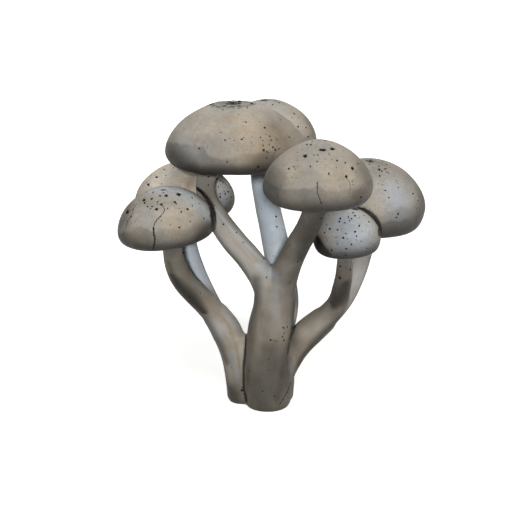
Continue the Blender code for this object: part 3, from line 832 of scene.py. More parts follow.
def mark_piece(piece, spots, cracks, strokes, deepest, strewn, seed):
    """Cuts and paints all the marks of one piece."""
    marking = Marking(piece)
    beads = [bead for width, line in cracks for bead in crack_beads(width, line)]
    hidden = hidden_places(piece, strewn, seed)
    rng = np.random.default_rng(seed + 1)
    sizes = rng.uniform(0.35, 0.75, len(hidden)) * MM
    places = [(place, radius * 1.5 + 0.4 * MM) for place, radius in zip(hidden, sizes)]
    for x, y, width, height in [*spots, *beads]:
        place = marking.hit(x, y)
        if place is not None:
            places.append((place, max(width, height) * PIXEL * 0.6 + 0.45 * MM))
    refine(piece, marking, places)
    for name, strength, width, line in strokes:
        marking.stroke(name, strength, width, line)
    for x, y, width, height in spots:
        depth = deepest * min(1.0, min(width, height) / 3)
        marking.spot(x, y, width, height, depth, min(1.0, 0.55 + 0.14 * width * height))
    for x, y, width, height in beads:
        marking.spot(x, y, width, height, deepest * 0.4, min(1.0, 0.5 + 0.5 * width))
    for place, radius in zip(hidden, sizes):
        marking.speck(place, radius, deepest * 0.35)
    set_points(piece, marking.points - normals_of(piece) * marking.depth[:, None])
    marking.store()
    return marking


# Caps


def cap_line(cap, step):
    """Radius and height from the top, round the margin and up to the stem's seat."""
    steepest = math.acos(cap.flat ** (cap.power / 2)) if cap.flat else math.pi / 2
    angles = np.linspace(steepest, 0.0, DOME_POINTS)
    radius = cap.radius * MM
    depth = cap.margin * MM
    share = np.maximum(np.cos(angles), 0.0) ** (2 / cap.power)
    rise = np.sin(angles) ** (2 / cap.power)
    line = list(zip(radius * share, cap.height * MM * rise))
    if cap.flat:
        across = np.linspace(0.0, 1.0, ROLL_POINTS)[:-1]
        dish = DISH_DEPTH * smooth_step((1 - across) / 0.3)
        line = [*zip(line[0][0] * across, line[0][1] - dish), *line]
    for angle in np.linspace(0.0, math.pi / 2, ROLL_POINTS)[1:]:
        share = MARGIN_SHARE + (1 - MARGIN_SHARE) * math.cos(angle)
        line.append((radius * share, -depth * math.sin(angle)))
    seat = cap.stem * MM + SEAT_CLEARANCE
    outer = radius * MARGIN_SHARE
    for inward, rise in UNDERSIDE:
        line.append((outer + (seat - outer) * inward, rise * MM - depth))
    line.append((0.0, DISC_ABOVE_MARGIN - depth))
    line[0] = (0.0, line[0][1])
    return evenly(line, step)


def turned_shell(name, line, steps):
    """A closed shell turned about Z from a line that starts and ends on the axis."""
    deselect()
    bpy.ops.mesh.primitive_plane_add(size=MM, location=(0, 0, 0))
    shell = bpy.context.object
    shell.name = name
    edit_all()
    bpy.ops.mesh.merge(type="CENTER")
    bpy.ops.transform.translate(value=(line[0][0], 0, line[0][1]))
    for (r, z), (next_r, next_z) in zip(line, line[1:]):
        bpy.ops.mesh.extrude_region_move(TRANSFORM_OT_translate={"value": (next_r - r, 0, next_z - z)})
    bpy.ops.mesh.select_all(action="SELECT")
    bpy.ops.mesh.spin(steps=steps, angle=2 * math.pi, center=(0, 0, 0), axis=(0, 0, 1))
    bpy.ops.mesh.select_all(action="SELECT")
    bpy.ops.mesh.remove_doubles(threshold=0.001 * MM)
    bpy.ops.mesh.normals_make_consistent(inside=False)
    bpy.ops.object.mode_set(mode="OBJECT")
    return shell


def grown(cap, points):
    """The turned shell's points with the cap's lobes and its off-centre seat."""
    x, y, z = points.T
    reach = np.hypot(x, y)
    angle = np.arctan2(y, x)
    wave = cap.outline(angle)
    outer = cap.radius * MM * MARGIN_SHARE
    seat = cap.stem * MM + SEAT_CLEARANCE
    under = (reach < outer - 0.01 * MM) & (z < 0)
    inward = np.where(under, np.clip((outer - reach) / (outer - seat), 0, 1), 0)
    spread = np.where(reach > seat, outer * wave + (seat - outer * wave) * inward, reach)
    reach = np.where(under, spread, reach * wave)
    x = cap.seat[0] * MM * inward + reach * np.cos(angle)
    y = cap.seat[1] * MM * inward + reach * np.sin(angle)
    return np.column_stack((x, y, z))


def uneven(piece, height, size, seed):
    """Moves a skin in and out by a little, over bumps of about the given size."""
    points = points_of(piece)
    offset = Vector((seed, seed * 1.7, seed * 2.3))
    waves = np.array([noise.noise(Vector(point) / size + offset) for point in points])
    set_points(piece, points + normals_of(piece) * (waves * height)[:, None])


def apply_frame(piece, matrix):
    """Puts a finished piece in its place and leaves its object at the origin."""
    piece.matrix_world = matrix
    take(piece)
    bpy.ops.object.transform_apply(location=True, rotation=True, scale=True)


def mark_shade_band(cap, marking):
    """Stores how far each point lies above the edge of the cap's lower band of painted shade."""
    to_cap = cap.frame().inverted()
    hits = [marking.hit(x, y) for x, y in evenly(SHADE_BAND_EDGES[cap.node], EDGE_STEP)]
    known = np.array([to_cap @ hit for hit in hits if hit is not None])
    turn = np.array(to_cap)
    points = marking.points @ turn[:3, :3].T + turn[:3, 3]
    angles = np.arctan2(points[:, 1], points[:, 0])
    edge = np.interp(angles, np.arctan2(known[:, 1], known[:, 0]), known[:, 2], period=2 * math.pi)
    waves = [noise.noise(Vector((3 * math.cos(a), 3 * math.sin(a), cap.phase))) for a in angles]
    edge += np.array(waves) * HIDDEN_WAVE * smooth_step(np.sin(angles) * 2)
    store(marking.piece, SHADE_BAND, (points[:, 2] - edge) / MM)


def worn_top(piece, cap, marking):
    """Green-grey, ragged wear on the flat top of the largest cap."""
    centre = Vector(cap.centre) * MM + WORN_MIDDLE
    points = marking.points
    away = np.hypot(points[:, 0] - centre.x, points[:, 1] - centre.y)
    rim = cap.flat * cap.radius * MM
    high = points[:, 2] > centre.z + 0.8 * cap.height * MM
    ragged = np.array([noise.fractal(Vector(point) / RAGGED_SIZE, 0.9, 2.1, 3) for point in points])
    worn = smooth_step((rim * 1.12 - away) / RAGGED_REACH + ragged) * high
    marking.paint["moss"] = np.maximum(marking.paint["moss"], worn)
    layers = np.array([noise.noise(Vector((x, y * 2.2, 0.0)) / LAYER_SIZE) for x, y, z in points])
    points = points_of(piece)
    points[:, 2] += worn * layers * LAYER_HEIGHT
    set_points(piece, points)
    holes = smooth_step((layers - LAYER_HOLES) / 0.08) * worn
    marking.paint["pit"] = np.maximum(marking.paint["pit"], holes)
    marking.store()


def grow_cap(cap, sizes, colours, seed):
    """One cap's flesh: a turned shell, made uneven, marked and painted."""
    radius = cap.radius * MM
    line = cap_line(cap, sizes.skin_step)
    steps = round(2 * math.pi * radius / (sizes.skin_step * 1.08))
    shell = turned_shell(cap.node + "_flesh", line, steps)
    set_points(shell, grown(cap, points_of(shell)))
    apply_frame(shell, cap.frame())
    uneven(shell, BUMP_HEIGHT, BUMP_SIZE, seed)
    node = cap.node
    marking = mark_piece(
        shell, SPOTS.get(node, ()), CRACKS.get(node, ()), STROKES.get(node, ()),
        sizes.pit_depth, sizes.strewn_spots, seed,
    )
    mark_shade_band(cap, marking)
    if cap.flat:
        worn_top(shell, cap, marking)
    take(shell)
    bpy.ops.object.shade_smooth()
    shell.data.materials.append(cap_skin(cap, colours))
    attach(shell, "root")
    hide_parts(node)
    return shell


# Gills


def gill_plate():
    """One plate, from 0 at the margin to 1 at the stem along X, 0 at its edge to 1 at its root along Z."""
    deselect()
    bpy.ops.mesh.primitive_grid_add(x_subdivisions=12, y_subdivisions=1, size=1, location=(0.5, 0.5, 0))
    plate = bpy.context.object
    edit_all()
    bpy.ops.mesh.extrude_region_move(TRANSFORM_OT_translate={"value": (0, 0, 1)})
    bpy.ops.mesh.select_all(action="SELECT")
    bpy.ops.mesh.normals_make_consistent(inside=False)
    bpy.ops.object.mode_set(mode="OBJECT")
    take(plate)
    bpy.ops.object.transform_apply(location=True, rotation=True, scale=True)
    return plate


def gill_points(cap, unit, angle, start, end, thickness):
    """A plate's points moved to one gill of a cap, in the cap's own frame."""
    along = start + (end - start) * unit[:, 0]
    up = unit[:, 1]
    side = (unit[:, 2] - 0.5) * thickness * (0.55 + 0.45 * up)
    wave = cap.outline(np.array(angle))
    outer = cap.radius * MM * MARGIN_SHARE * wave
    seat = cap.stem * MM + 0.2 * MM
    reach = outer + (seat - outer) * along
    sway = 0.5 * MM * math.sin(angle * 37) * np.sin(along * math.pi)
    x = cap.seat[0] * MM * along + reach * math.cos(angle) - (side + sway) * math.sin(angle)
    y = cap.seat[1] * MM * along + reach * math.sin(angle) + (side + sway) * math.cos(angle)
    root = np.interp(along, *zip(*GILL_ROOT)) * MM
    edge = np.interp(along, *zip(*GILL_EDGE)) * MM
    lift = smooth_step((unit[:, 0] - 0.8) / 0.2) if end < 0.9 else np.zeros(len(unit))
    edge = edge + (root - edge) * lift
    z = edge + (root - edge) * up - cap.margin * MM
    return np.column_stack((x, y, z))


def grow_gills(cap, plate, sizes, colours):
    """One cap's gills: copies of the plate, long and short in turn, joined."""
    unit = points_of(plate)
    edge_length = 2 * math.pi * cap.radius * MM * MARGIN_SHARE
    count = round(edge_length / sizes.gill_spacing)
    rng = np.random.default_rng(round(cap.radius * 10))
    copies = []
    for number in range(2 * count):
        angle = math.pi * number / count
        end = rng.uniform(*SHORT_GILL_END) if number % 2 else GILL_END
        copied = plate.copy()
        copied.data = plate.data.copy()
        bpy.context.scene.collection.objects.link(copied)
        set_points(copied, gill_points(cap, unit, angle, GILL_START, end, sizes.gill_thickness))
        copies.append(copied)
    gills = joined(copies, cap.node + "_gills")
    apply_frame(gills, cap.frame())
    bpy.ops.object.shade_smooth_by_angle(angle=math.radians(35))
    gills.data.materials.append(gill_flesh(cap, colours))
    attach(gills, "root")
    return gills


# Stems


def stem_route(name):
    """A stem's points in metres, ending in its cap if it carries one."""
    cap_node, _, points = STEMS[name]
    route = [[value * MM for value in point] for point in points]
    for point in route:
        point[3] += SMOOTHING_LOSS
    if cap_node:
        cap = CAP[cap_node]
        place = cap.frame()
        seat = Vector((cap.seat[0] * MM, cap.seat[1] * MM, DISC_ABOVE_MARGIN - cap.margin * MM))
        below = place @ (seat - Vector((0, 0, DISC_ABOVE_MARGIN)))
        inside = place @ (seat + Vector((0, 0, SEATING)))
        route.append([*below, cap.stem * MM])
        route.append([*inside, cap.stem * MM + SEATING_FLARE])
    return route


def rooted(route):
    """The route with a narrower stretch below the ground, which rounds the foot's lower edge."""
    x, y, z, radius = route[0]
    if z > ROOT_DEPTH:
        return route
    return [[x, y, -ROOT_DEPTH, radius - ROOT_DEPTH], *route]


def tube(name, route):
    """A round tube along a smooth curve through the route's points, as a mesh."""
    deselect()
    bpy.ops.curve.primitive_bezier_curve_add(radius=1, location=(0, 0, 0))
    guide = bpy.context.object
    guide.name = name
    curve = guide.data
    curve.bevel_depth = 1.0
    curve.bevel_resolution = 8
    curve.resolution_u = 10
    curve.use_fill_caps = True
    spline = curve.splines[0]
    spline.bezier_points.add(len(route) - len(spline.bezier_points))
    for point, (x, y, z, radius) in zip(spline.bezier_points, route):
        point.co = (x, y, z)
        point.radius = radius
        point.handle_left_type = "AUTO"
        point.handle_right_type = "AUTO"
    bpy.ops.object.convert(target="MESH")
    return bpy.context.object


def centre_line(route):
    """Places, radii, distances and a steady pair of side directions along a route."""
    known = np.array(route)
    places = evenly(known[:, :3], CENTRE_STEP)
    walked = walked_along(known[:, :3])
    radii = np.interp(np.linspace(0, walked[-1], len(places)), walked, known[:, 3])
    along = np.gradient(places, axis=0)
    along /= np.linalg.norm(along, axis=1)[:, None]
    across = np.array((1.0, 0.0, 0.0)) - along * along[:, :1]
    across /= np.linalg.norm(across, axis=1)[:, None]
    beyond = np.cross(along, across)
    return places, radii, across, beyond


def bark_of(points):
    """Unrolled coordinates on the stems, and how much of each stem every point has."""
    total = np.zeros(len(points))
    bark = np.zeros((len(points), 3))
    shares = {}
    for name in STEMS:
        places, radii, across, beyond = centre_line(stem_route(name))
        gap = np.linalg.norm(points[:, None, :] - places[None, :, :], axis=2)
        nearest = gap.argmin(axis=1)
        least = gap[np.arange(len(points)), nearest]
        weight = np.exp(-((np.maximum(least - radii[nearest], 0) / BARK_REACH) ** 2)) + 1e-9
        out = points - places[nearest]
        sides = [np.einsum("ij,ij->i", out, side[nearest]) for side in (across, beyond)]
        bark += np.column_stack((*sides, places[nearest, 2])) * weight[:, None]
        total += weight
        shares[name] = weight
    return bark / total[:, None], {name: weight / total for name, weight in shares.items()}


def bark_relief(bark):
    """Height of the lengthwise fibres and soft lumps, from -1 to 1."""
    relief = []
    for x, y, z in bark / MM:
        fibre = noise.noise(Vector((x / 1.5, y / 1.5, z / 17)))
        groove = noise.noise(Vector((x / 3.6, y / 3.6, z / 30 + 7)))
        lump = noise.noise(Vector((x / 8, y / 8, z / 11 + 3)))
        relief.append(0.45 * fibre + 0.75 * groove + 0.8 * lump)
    return np.array(relief)


def grow_stems(sizes, colours):
    """The stems and their foot: tubes fused in one skin, smoothed, given its bark, cut flat and marked."""
    tubes = [tube("tube_" + name, rooted(stem_route(name))) for name in STEMS]
    for number, filling in enumerate(FILLINGS):
        route = [[value * MM for value in point] for point in filling]
        tubes.append(tube(f"filling_{number}", rooted(route)))
    skin = joined(tubes, "stem_cluster")
    skin.data.remesh_voxel_size = sizes.stem_step
    bpy.ops.object.voxel_remesh()
    soften = skin.modifiers.new("soften", "SMOOTH")
    soften.factor = 0.5
    soften.iterations = SMOOTHING_ROUNDS
    bpy.ops.object.modifier_apply(modifier="soften")
    bark, _ = bark_of(points_of(skin))
    relief = bark_relief(bark) * sizes.fibre_height
    set_points(skin, points_of(skin) + normals_of(skin) * relief[:, None])
    take(skin)
    edit_all()
    bpy.ops.mesh.bisect(plane_co=(0, 0, 0), plane_no=(0, 0, 1), use_fill=True, clear_inner=True)
    bpy.ops.object.mode_set(mode="OBJECT")
    deepest = sizes.pit_depth * STEM_PITS
    marking = mark_piece(skin, STEM_SPOTS, STEM_CRACKS, STEM_STROKES, deepest, STREWN_ON_STEMS, STEM_SEED)
    points = points_of(skin)
    points[:, 2] = np.maximum(points[:, 2], 0.0)
    set_points(skin, points)
    bark, shares = bark_of(marking.points)
    # Each stem's frost and ochre, and its painted shade, blended where the stems meet.
    for index, paint in enumerate(("frost_and_highlight", "ochre", "shade")):
        base = sum(STEMS[name][1][index] * share for name, share in shares.items())
        if paint == "frost_and_highlight":
            base = base * (0.25 + 0.75 * smooth_step(marking.points[:, 2] / (60 * MM)))
        marking.paint[paint] = np.maximum(marking.paint[paint], base)
    # Painted shade on faces that look down, above the foot.
    underside_shade = 0.3 * smooth_step((-normals_of(skin)[:, 2] - 0.12) / 0.5)
    underside_shade *= smooth_step((marking.points[:, 2] - 12 * MM) / (20 * MM))
    marking.paint["shade"] = np.maximum(marking.paint["shade"], underside_shade)
    marking.store()
    layer = skin.data.attributes.new(BARK, "FLOAT_VECTOR", "POINT")
    layer.data.foreach_set("vector", bark.astype(np.float32).ravel())
    take(skin)
    bpy.ops.object.shade_smooth_by_angle(angle=math.radians(55))
    skin.data.materials.append(stem_skin(colours))
    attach(skin, "root")
    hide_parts("foot", *STEMS)
    return skin


# Materials


def add(tree, kind, inputs=(), stops=(), out=0, **settings):
    """Adds a node and gives back one of its outputs. The inputs, by place or by name, are values or other
    nodes' outputs, and the stops are a colour ramp's places and greys."""
    made = tree.nodes.new("ShaderNode" + kind)
    for name, value in settings.items():
        setattr(made, name, value)
    for socket, value in inputs.items() if isinstance(inputs, dict) else enumerate(inputs):
        if isinstance(value, bpy.types.NodeSocket):
            tree.links.new(value, made.inputs[socket])
        else:
            made.inputs[socket].default_value = value
    for number, (position, grey) in enumerate(stops):
        elements = made.color_ramp.elements
        element = elements[number] if number < len(elements) else elements.new(position)
        element.position = position
        element.color = (grey, grey, grey, 1.0)
    return made.outputs[out] if made.outputs else None


def new_material(name):
    material = bpy.data.materials.new(name)
    material.use_nodes = True
    material.node_tree.nodes.clear()
    return material, material.node_tree


def solid(rgb):
    """An opaque colour."""
    return (*rgb, 1.0)


def coated(tree, tone, *coats):
    """Lays coats over a tone in turn. Each is its blend mode, how much of it shows and its colour."""
    for mode, share, over in coats:
        inputs = {0: share, MIX_UNDER: tone, MIX_OVER: over}
        tone = add(tree, "Mix", inputs, out=MIX_RESULT, data_type="RGBA", blend_type=mode)
    return tone


def grain(tree, vector, size_mm, stops=(), detail=2, roughness=0.5, stretch=(1, 1, 1)):
    """Noise whose features are about the given size, from 0 to 1 or as a ramp's stops turn it."""
    placed = add(tree, "Mapping", {"Vector": vector, "Scale": stretch})
    inputs = {"Vector": placed, "Scale": 1 / (size_mm * MM), "Detail": detail, "Roughness": roughness}
    cloud = add(tree, "TexNoise", inputs)
    return add(tree, "ValToRGB", (cloud,), stops) if stops else cloud


def wandering(tree, level, *waves):
    """The level moved up and down by noises, each given by its coordinates, its size and its reach."""
    for vector, size_mm, reach in waves:
        wave = add(tree, "Math", (grain(tree, vector, size_mm), 0.5), operation="SUBTRACT")
        level = add(tree, "Math", (wave, reach, level), operation="MULTIPLY_ADD")
    return level


def peppering(tree, vector, cell_mm, widest, share, thicker, strength=1.0):
    """Small spots, one in some cells of the given size. thicker raises how many cells have one."""
    away = add(tree, "TexVoronoi", {"Vector": vector, "Scale": 1 / (cell_mm * MM), "Randomness": 1.0})
    chance = add(tree, "SeparateColor", (away.node.outputs["Color"],))
    limit = add(tree, "Math", (thicker, share), operation="MULTIPLY")
    chosen = add(tree, "Math", (chance, limit), operation="LESS_THAN")
    radius = add(tree, "Math", (chance.node.outputs["Green"], widest), operation="MULTIPLY")
    inside = add(tree, "Math", (radius, away), operation="SUBTRACT")
    crisp = add(tree, "Math", (inside, SPOT_CRISPNESS), operation="MULTIPLY", use_clamp=True)
    spots = add(tree, "Math", (crisp, chosen), operation="MULTIPLY")
    return add(tree, "Math", (spots, strength), operation="MULTIPLY")


def darkest(tree, *pits):
    """The painted spots and cracks, with a crisp edge, and any others that are darker."""
    painted = add(tree, "Attribute", out="Fac", attribute_name="pit")
    dark = add(tree, "ValToRGB", (painted,), ((0.2, 0.0), (0.5, 0.45), (0.9, 1.0)))
    for other in pits:
        dark = add(tree, "Math", (dark, other), operation="MAXIMUM")
    return dark


def shadow(tree):
    """The painted shade as a share of linear light, so that it fades evenly to the eye."""
    shade = add(tree, "Attribute", out="Fac", attribute_name="shade")
    left = add(tree, "Math", (1.0, shade), operation="SUBTRACT", use_clamp=True)
    light = add(tree, "Math", (left, EYE_POWER), operation="POWER")
    return add(tree, "Math", (1.0, light), operation="SUBTRACT")


def stained(tree, tone, coords, frost_and_highlight, colours):
    """The tone under its painted frost, ochre and moss, all broken up by one grain. The frost is partly a
    bluish bloom and partly painted light.
    """
    cloud = grain(tree, coords, 7, detail=3)
    broken = add(tree, "Math", (cloud, 0.9, 0.45), operation="MULTIPLY_ADD")
    clumps = grain(tree, coords, 2.4, ((0.35, 0.78), (0.62, 1.25)), detail=3)
    green = coated(tree, solid(colours.moss), ("MULTIPLY", 1.0, clumps))
    for name, over in (("frost_and_highlight", solid(frost_and_highlight)), ("ochre", solid(colours.ochre)), ("moss", green)):
        painted = add(tree, "Attribute", out="Fac", attribute_name=name)
        share = add(tree, "Math", (painted, broken), operation="MULTIPLY", use_clamp=True)
        tone = coated(tree, tone, ("MIX", share, over))
    return tone


def finish(tree, tone, rough, relief, bump_mm, specular):
    """The surface's shader, with its relief."""
    bump = add(tree, "Bump", {"Height": relief, "Distance": bump_mm * MM, "Strength": 1.0})
    inputs = {"Base Color": tone, "Roughness": rough, "Normal": bump, "IOR": FLESH_IOR}
    shader = add(tree, "BsdfPrincipled", {**inputs, "Specular IOR Level": specular})
    add(tree, "OutputMaterial", {"Surface": shader})


def cap_skin(cap, colours):
    """Mushroom cap skin: a dry, matt pellicle. It is warm beige and peppered near the top, and painted
    shade in bands with a brushed edge darkens it towards the margin."""
    material, tree = new_material(cap.node + "_skin")
    place = {
        "Vector": add(tree, "TexCoord", out="Object"),
        "Location": [value * MM for value in cap.centre],
        "Rotation": [math.radians(angle) for angle in cap.lean],
    }
    local = add(tree, "Mapping", place, vector_type="TEXTURE")
    z = add(tree, "SeparateXYZ", (local,), out="Z")
    flat = add(tree, "VectorMath", (local, (1, 1, 0)), operation="MULTIPLY")
    spoke = add(tree, "VectorMath", (flat,), operation="NORMALIZE")
    drawn = add(tree, "VectorMath", (local, (0, 0, BRUSH_DRAWN)), operation="MULTIPLY")
    brushed = add(tree, "VectorMath", (spoke, (BRUSH_TURN, BRUSH_TURN, 0), drawn), operation="MULTIPLY_ADD")
    umber = solid(colours.umber)
    pit_and_shade_black = solid(colours.pit_and_shade_black)

    # Skin tone: warm and grey patches with a paper-like mottle, and thin brown veins in some places.
    patches = grain(tree, local, 19, ((0.38, 0.0), (0.62, 1.0)), detail=3)
    warm = grain(tree, local, 8.5, ((0.52, 0.0), (0.74, 0.42)), detail=3, stretch=(1, 1, 1.6))
    base = ("MIX", patches, solid(colours.cap_beige)), ("MIX", warm, solid(colours.ochre))
    tone = coated(tree, solid(colours.cap_grey), *base)
    tone = stained(tree, tone, local, colours.cap_frost_and_highlight, colours)
    # pale scales the whole skin: painted light where it is above one, painted shade where below.
    tones = (0.3, 0.86 * cap.pale), (0.7, 1.06 * cap.pale)
    mottle = grain(tree, local, 1.7, tones, detail=4, roughness=0.65)
    wave = add(tree, "Math", (grain(tree, local, 4.5, detail=4, roughness=0.6), 0.5), operation="SUBTRACT")
    ridge = add(tree, "Math", (wave,), operation="ABSOLUTE")
    vein = add(tree, "ValToRGB", (ridge,), ((0.0, 0.5), (0.012, 0.0)))
    veined = grain(tree, local, 11, ((0.5, 0.0), (0.62, 1.0)), detail=1)
    veins = add(tree, "Math", (vein, veined), operation="MULTIPLY")

    # Painted shade: a lower band with a torn, brushed edge, a fainter one above it, and a dark rim.
    band = add(tree, "Attribute", out="Fac", attribute_name=SHADE_BAND)
    above = wandering(tree, band, (local, 6, 2.4), (brushed, 1.6, 1.2))
    clear = add(tree, "Math", (above, 0.9, 0.5), operation="MULTIPLY_ADD", use_clamp=True)
    washed = grain(tree, local, 22, ((0.35, 0.68), (0.65, 0.90)), detail=1)
    lower = coated(tree, washed, ("MIX", clear, solid((1, 1, 1))))
    higher = add(tree, "Math", (wandering(tree, band, (local, 18, 14)), UPPER_SHADE_BAND), operation="SUBTRACT")
    fading = add(tree, "Math", (higher, 0.5, 0.5), operation="MULTIPLY_ADD")
    upper = add(tree, "ValToRGB", (fading,), ((0.0, 0.88), (1.0, 1.0)))
    level = add(tree, "Math", (z, 0.5 / (cap.margin * MM), 0.5), operation="MULTIPLY_ADD")
    rim = add(tree, "ValToRGB", (level,), RIM_SHADE_STOPS)

    # Peppering, thicker near the top.
    height = add(tree, "Math", (z, cap.height * MM), operation="DIVIDE")
    thicker = add(tree, "ValToRGB", (height,), ((0.0, 0.35), (0.45, 0.7), (0.95, 1.5)))
    brown = peppering(tree, local, 2.3, 0.30, 0.32, thicker, 0.6)
    black = peppering(tree, local, 6.4, 0.11, 0.30, thicker)
    pepper = add(tree, "Attribute", out="Fac", attribute_name="pepper")
    fine = peppering(tree, local, 1.7, 0.40, 0.55, pepper, 0.95)
    tone = coated(
        tree, tone,
        ("MULTIPLY", 1.0, mottle),
        ("MIX", veins, umber),
        ("MULTIPLY", 1.0, lower),
        ("MULTIPLY", 1.0, upper),
        ("MULTIPLY", 1.0, rim),
        ("MIX", shadow(tree), pit_and_shade_black),
        ("MIX", brown, umber),
        ("MIX", darkest(tree, black, fine), pit_and_shade_black),
    )
    pores = grain(tree, local, 0.9, detail=3)
    relief = add(tree, "Math", (grain(tree, brushed, 1.1), 0.7, pores), operation="MULTIPLY_ADD")
    rough = grain(tree, local, 4, ((0.3, 0.52), (0.7, 0.66)))
    finish(tree, tone, rough, relief, 0.10, 0.35)
    return material


def gill_flesh(cap, colours):
    """Gill flesh: thin, matt and cream, a little darker in patches."""
    material, tree = new_material(cap.node + "_gill_flesh")
    raw = add(tree, "TexCoord", out="Object")
    cloud = grain(tree, raw, 9, ((0.35, 0.0), (0.7, 0.55)), detail=3)
    mottle = grain(tree, raw, 1.2, ((0.3, 0.84), (0.7, 1.04)), detail=3)
    coats = ("MIX", cloud, solid(colours.cap_beige)), ("MULTIPLY", 1.0, mottle)
    tone = coated(tree, solid(colours.gill_cream), *coats)
    finish(tree, tone, 0.62, grain(tree, raw, 0.6), 0.06, 0.3)
    return material


def stem_skin(colours):
    """Mushroom stem skin: dull, dry and fibrous. Its fibres run lengthwise; it is grey-brown with paler
    patches, more frosted higher up, and painted shade darkens it towards the foot."""
    material, tree = new_material("stem_cluster_skin")
    raw = add(tree, "TexCoord", out="Object")
    bark = add(tree, "Attribute", out="Vector", attribute_name=BARK)
    pit_and_shade_black = solid(colours.pit_and_shade_black)
    patches = grain(tree, raw, 16, ((0.36, 0.0), (0.64, 1.0)), detail=3)
    warm = grain(tree, bark, 5, ((0.54, 0.0), (0.76, 0.4)), detail=3, stretch=(1, 1, 0.2))
    base = ("MIX", patches, solid(colours.stem_pale)), ("MIX", warm, solid(colours.ochre))
    tone = coated(tree, solid(colours.stem_brown), *base)
    tone = stained(tree, tone, raw, colours.stem_frost_and_highlight, colours)
    fibres = grain(tree, bark, 1.3, ((0.3, 0.93), (0.7, 1.03)), detail=3, roughness=0.6, stretch=(1, 1, 0.08))
    z = add(tree, "SeparateXYZ", (raw,), out="Z")
    height = add(tree, "Math", (z, STEM_HEIGHT), operation="DIVIDE")
    # Painted shade: darker towards the foot.
    foot_shade = add(tree, "ValToRGB", (height,), ((0.0, 0.48), (0.10, 0.60), (0.20, 0.84), (0.32, 1.0)))
    tone = coated(
        tree, tone,
        ("MULTIPLY", 1.0, fibres),
        ("MULTIPLY", 1.0, foot_shade),
        ("MIX", shadow(tree), pit_and_shade_black),
        ("MIX", peppering(tree, raw, 2.6, 0.26, 0.16, 1.0, 0.55), solid(colours.umber)),
        ("MIX", darkest(tree, peppering(tree, raw, 9, 0.07, 0.18, 1.0)), pit_and_shade_black),
    )
    strands = grain(tree, bark, 0.8, stretch=(1, 1, 0.06))
    relief = add(tree, "Math", (grain(tree, raw, 0.7), 0.4, strands), operation="MULTIPLY_ADD")
    rough = grain(tree, raw, 5, ((0.3, 0.55), (0.7, 0.70)))
    finish(tree, tone, rough, relief, 0.08, 0.3)
    return material


# Studio


def set_camera():
    data = bpy.data.cameras.new("camera")
    data.sensor_width = SENSOR_WIDTH
    data.lens = FOCAL_PIXELS * SENSOR_WIDTH / PHOTO_SIZE
    data.clip_start = 10 * MM
    camera = bpy.data.objects.new("camera", data)
    bpy.context.scene.collection.objects.link(camera)
    camera.matrix_world = Matrix.Translation(camera_place()) @ camera_turn().to_4x4()
    bpy.context.scene.camera = camera


def add_sun(name, strength, spread, elevation, azimuth):
    """A soft sun at an angle above the horizon, turned from the camera's side towards the right."""
    data = bpy.data.lights.new(name, "SUN")
    data.energy = strength
    data.angle = math.radians(spread)
    sun = bpy.data.objects.new(name, data)
    bpy.context.scene.collection.objects.link(sun)
    sun.rotation_euler = (math.radians(90 - elevation), 0, math.radians(azimuth))


def set_sky():
    """Soft light from above that fades below the horizon."""
    world = bpy.data.worlds.new("studio")
    world.use_nodes = True
    tree = world.node_tree
    tree.nodes.clear()
    direction = add(tree, "TexCoord", out="Generated")
    up = add(tree, "SeparateXYZ", (direction,), out="Z")
    level = add(tree, "Math", (up, 0.5, 0.5), operation="MULTIPLY_ADD")
    glow = add(tree, "ValToRGB", (level,), SKY_STOPS)
    sky = add(tree, "Background", {"Color": glow, "Strength": 1.0})
    add(tree, "OutputWorld", {"Surface": sky})
    bpy.context.scene.world = world


def set_floor(colours):
    """A pale floor that glows a little, so that it shows as even as the photograph's background."""
    deselect()
    bpy.ops.mesh.primitive_plane_add(size=40, location=(0, 0, -FLOOR_DROP))
    floor = bpy.context.object
    floor.name = "floor"
    material, tree = new_material("floor_paint")
    white = solid(colours.floor_white)
    matt = {"Base Color": white, "Roughness": 0.9, "Specular IOR Level": 0.1}
    shader = add(tree, "BsdfPrincipled", {**matt, "Emission Color": white, "Emission Strength": FLOOR_GLOW})
    add(tree, "OutputMaterial", {"Surface": shader})
    floor.data.materials.append(material)
    floor.visible_diffuse = False


# Operators


class FUNGUS_OT_stems(bpy.types.Operator):
    """Grow the forked stems and their shared foot in one skin"""

    bl_idname = "fungus.stems"
    bl_label = "Grow Stems"

    def execute(self, context):
        grow_stems(context.scene.fungus_sizes, context.scene.fungus_colours)
        return {"FINISHED"}


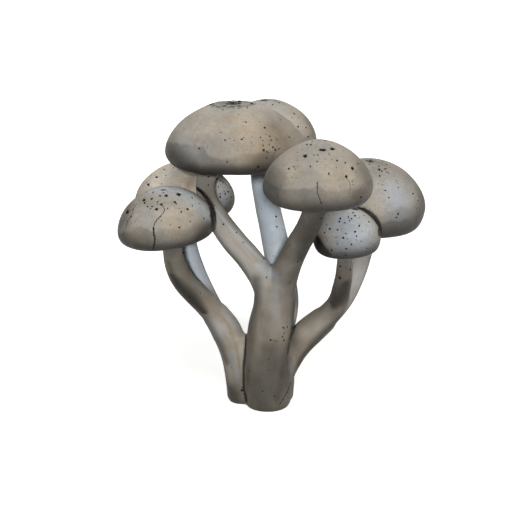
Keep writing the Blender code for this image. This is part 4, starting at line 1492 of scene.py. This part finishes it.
class FUNGUS_OT_caps(bpy.types.Operator):
    """Grow the flesh of the seven caps with their pits, cracks and stains"""

    bl_idname = "fungus.caps"
    bl_label = "Grow Caps"

    def execute(self, context):
        for number, cap in enumerate(CAPS):
            seed = FIRST_CAP_SEED + CAP_SEED_STEP * number
            grow_cap(cap, context.scene.fungus_sizes, context.scene.fungus_colours, seed)
        return {"FINISHED"}


class FUNGUS_OT_gills(bpy.types.Operator):
    """Grow the gills under the seven caps"""

    bl_idname = "fungus.gills"
    bl_label = "Grow Gills"

    def execute(self, context):
        plate = gill_plate()
        for cap in CAPS:
            grow_gills(cap, plate, context.scene.fungus_sizes, context.scene.fungus_colours)
        bpy.data.objects.remove(plate)
        return {"FINISHED"}


class FUNGUS_OT_stage(bpy.types.Operator):
    """Set the camera, the soft light and the pale floor"""

    bl_idname = "fungus.stage"
    bl_label = "Set Stage"

    def execute(self, context):
        set_camera()
        for name, sun in SUNS.items():
            add_sun(name, *sun)
        set_sky()
        set_floor(context.scene.fungus_colours)
        context.scene.view_settings.view_transform = "Standard"
        return {"FINISHED"}


STEPS = ("fungus.stage", "fungus.stems", "fungus.caps", "fungus.gills")


class FUNGUS_PT_panel(bpy.types.Panel):
    """Lists the fungus's sizes, colours and steps"""

    bl_idname = "FUNGUS_PT_panel"
    bl_label = "Ghost Fungus"
    bl_space_type = "VIEW_3D"
    bl_region_type = "UI"
    bl_category = "Fungus"

    def draw(self, context):
        layout = self.layout
        for group in (context.scene.fungus_sizes, context.scene.fungus_colours):
            for name in group.bl_rna.properties.keys():
                if name not in ("rna_type", "name"):
                    layout.prop(group, name)
        for step in STEPS:
            layout.operator(step)


CLASSES = (
    FungusSizes, FungusColours,
    FUNGUS_OT_stems, FUNGUS_OT_caps, FUNGUS_OT_gills, FUNGUS_OT_stage, FUNGUS_PT_panel,
)


def register():
    for kind in CLASSES:
        bpy.utils.register_class(kind)
    bpy.types.Scene.fungus_sizes = PointerProperty(type=FungusSizes)
    bpy.types.Scene.fungus_colours = PointerProperty(type=FungusColours)


def unregister():
    del bpy.types.Scene.fungus_colours
    del bpy.types.Scene.fungus_sizes
    for kind in reversed(CLASSES):
        bpy.utils.unregister_class(kind)


def main():
    register()
    for step in STEPS:
        group, name = step.split(".")
        getattr(getattr(bpy.ops, group), name)()


if __name__ == "__main__":
    main()
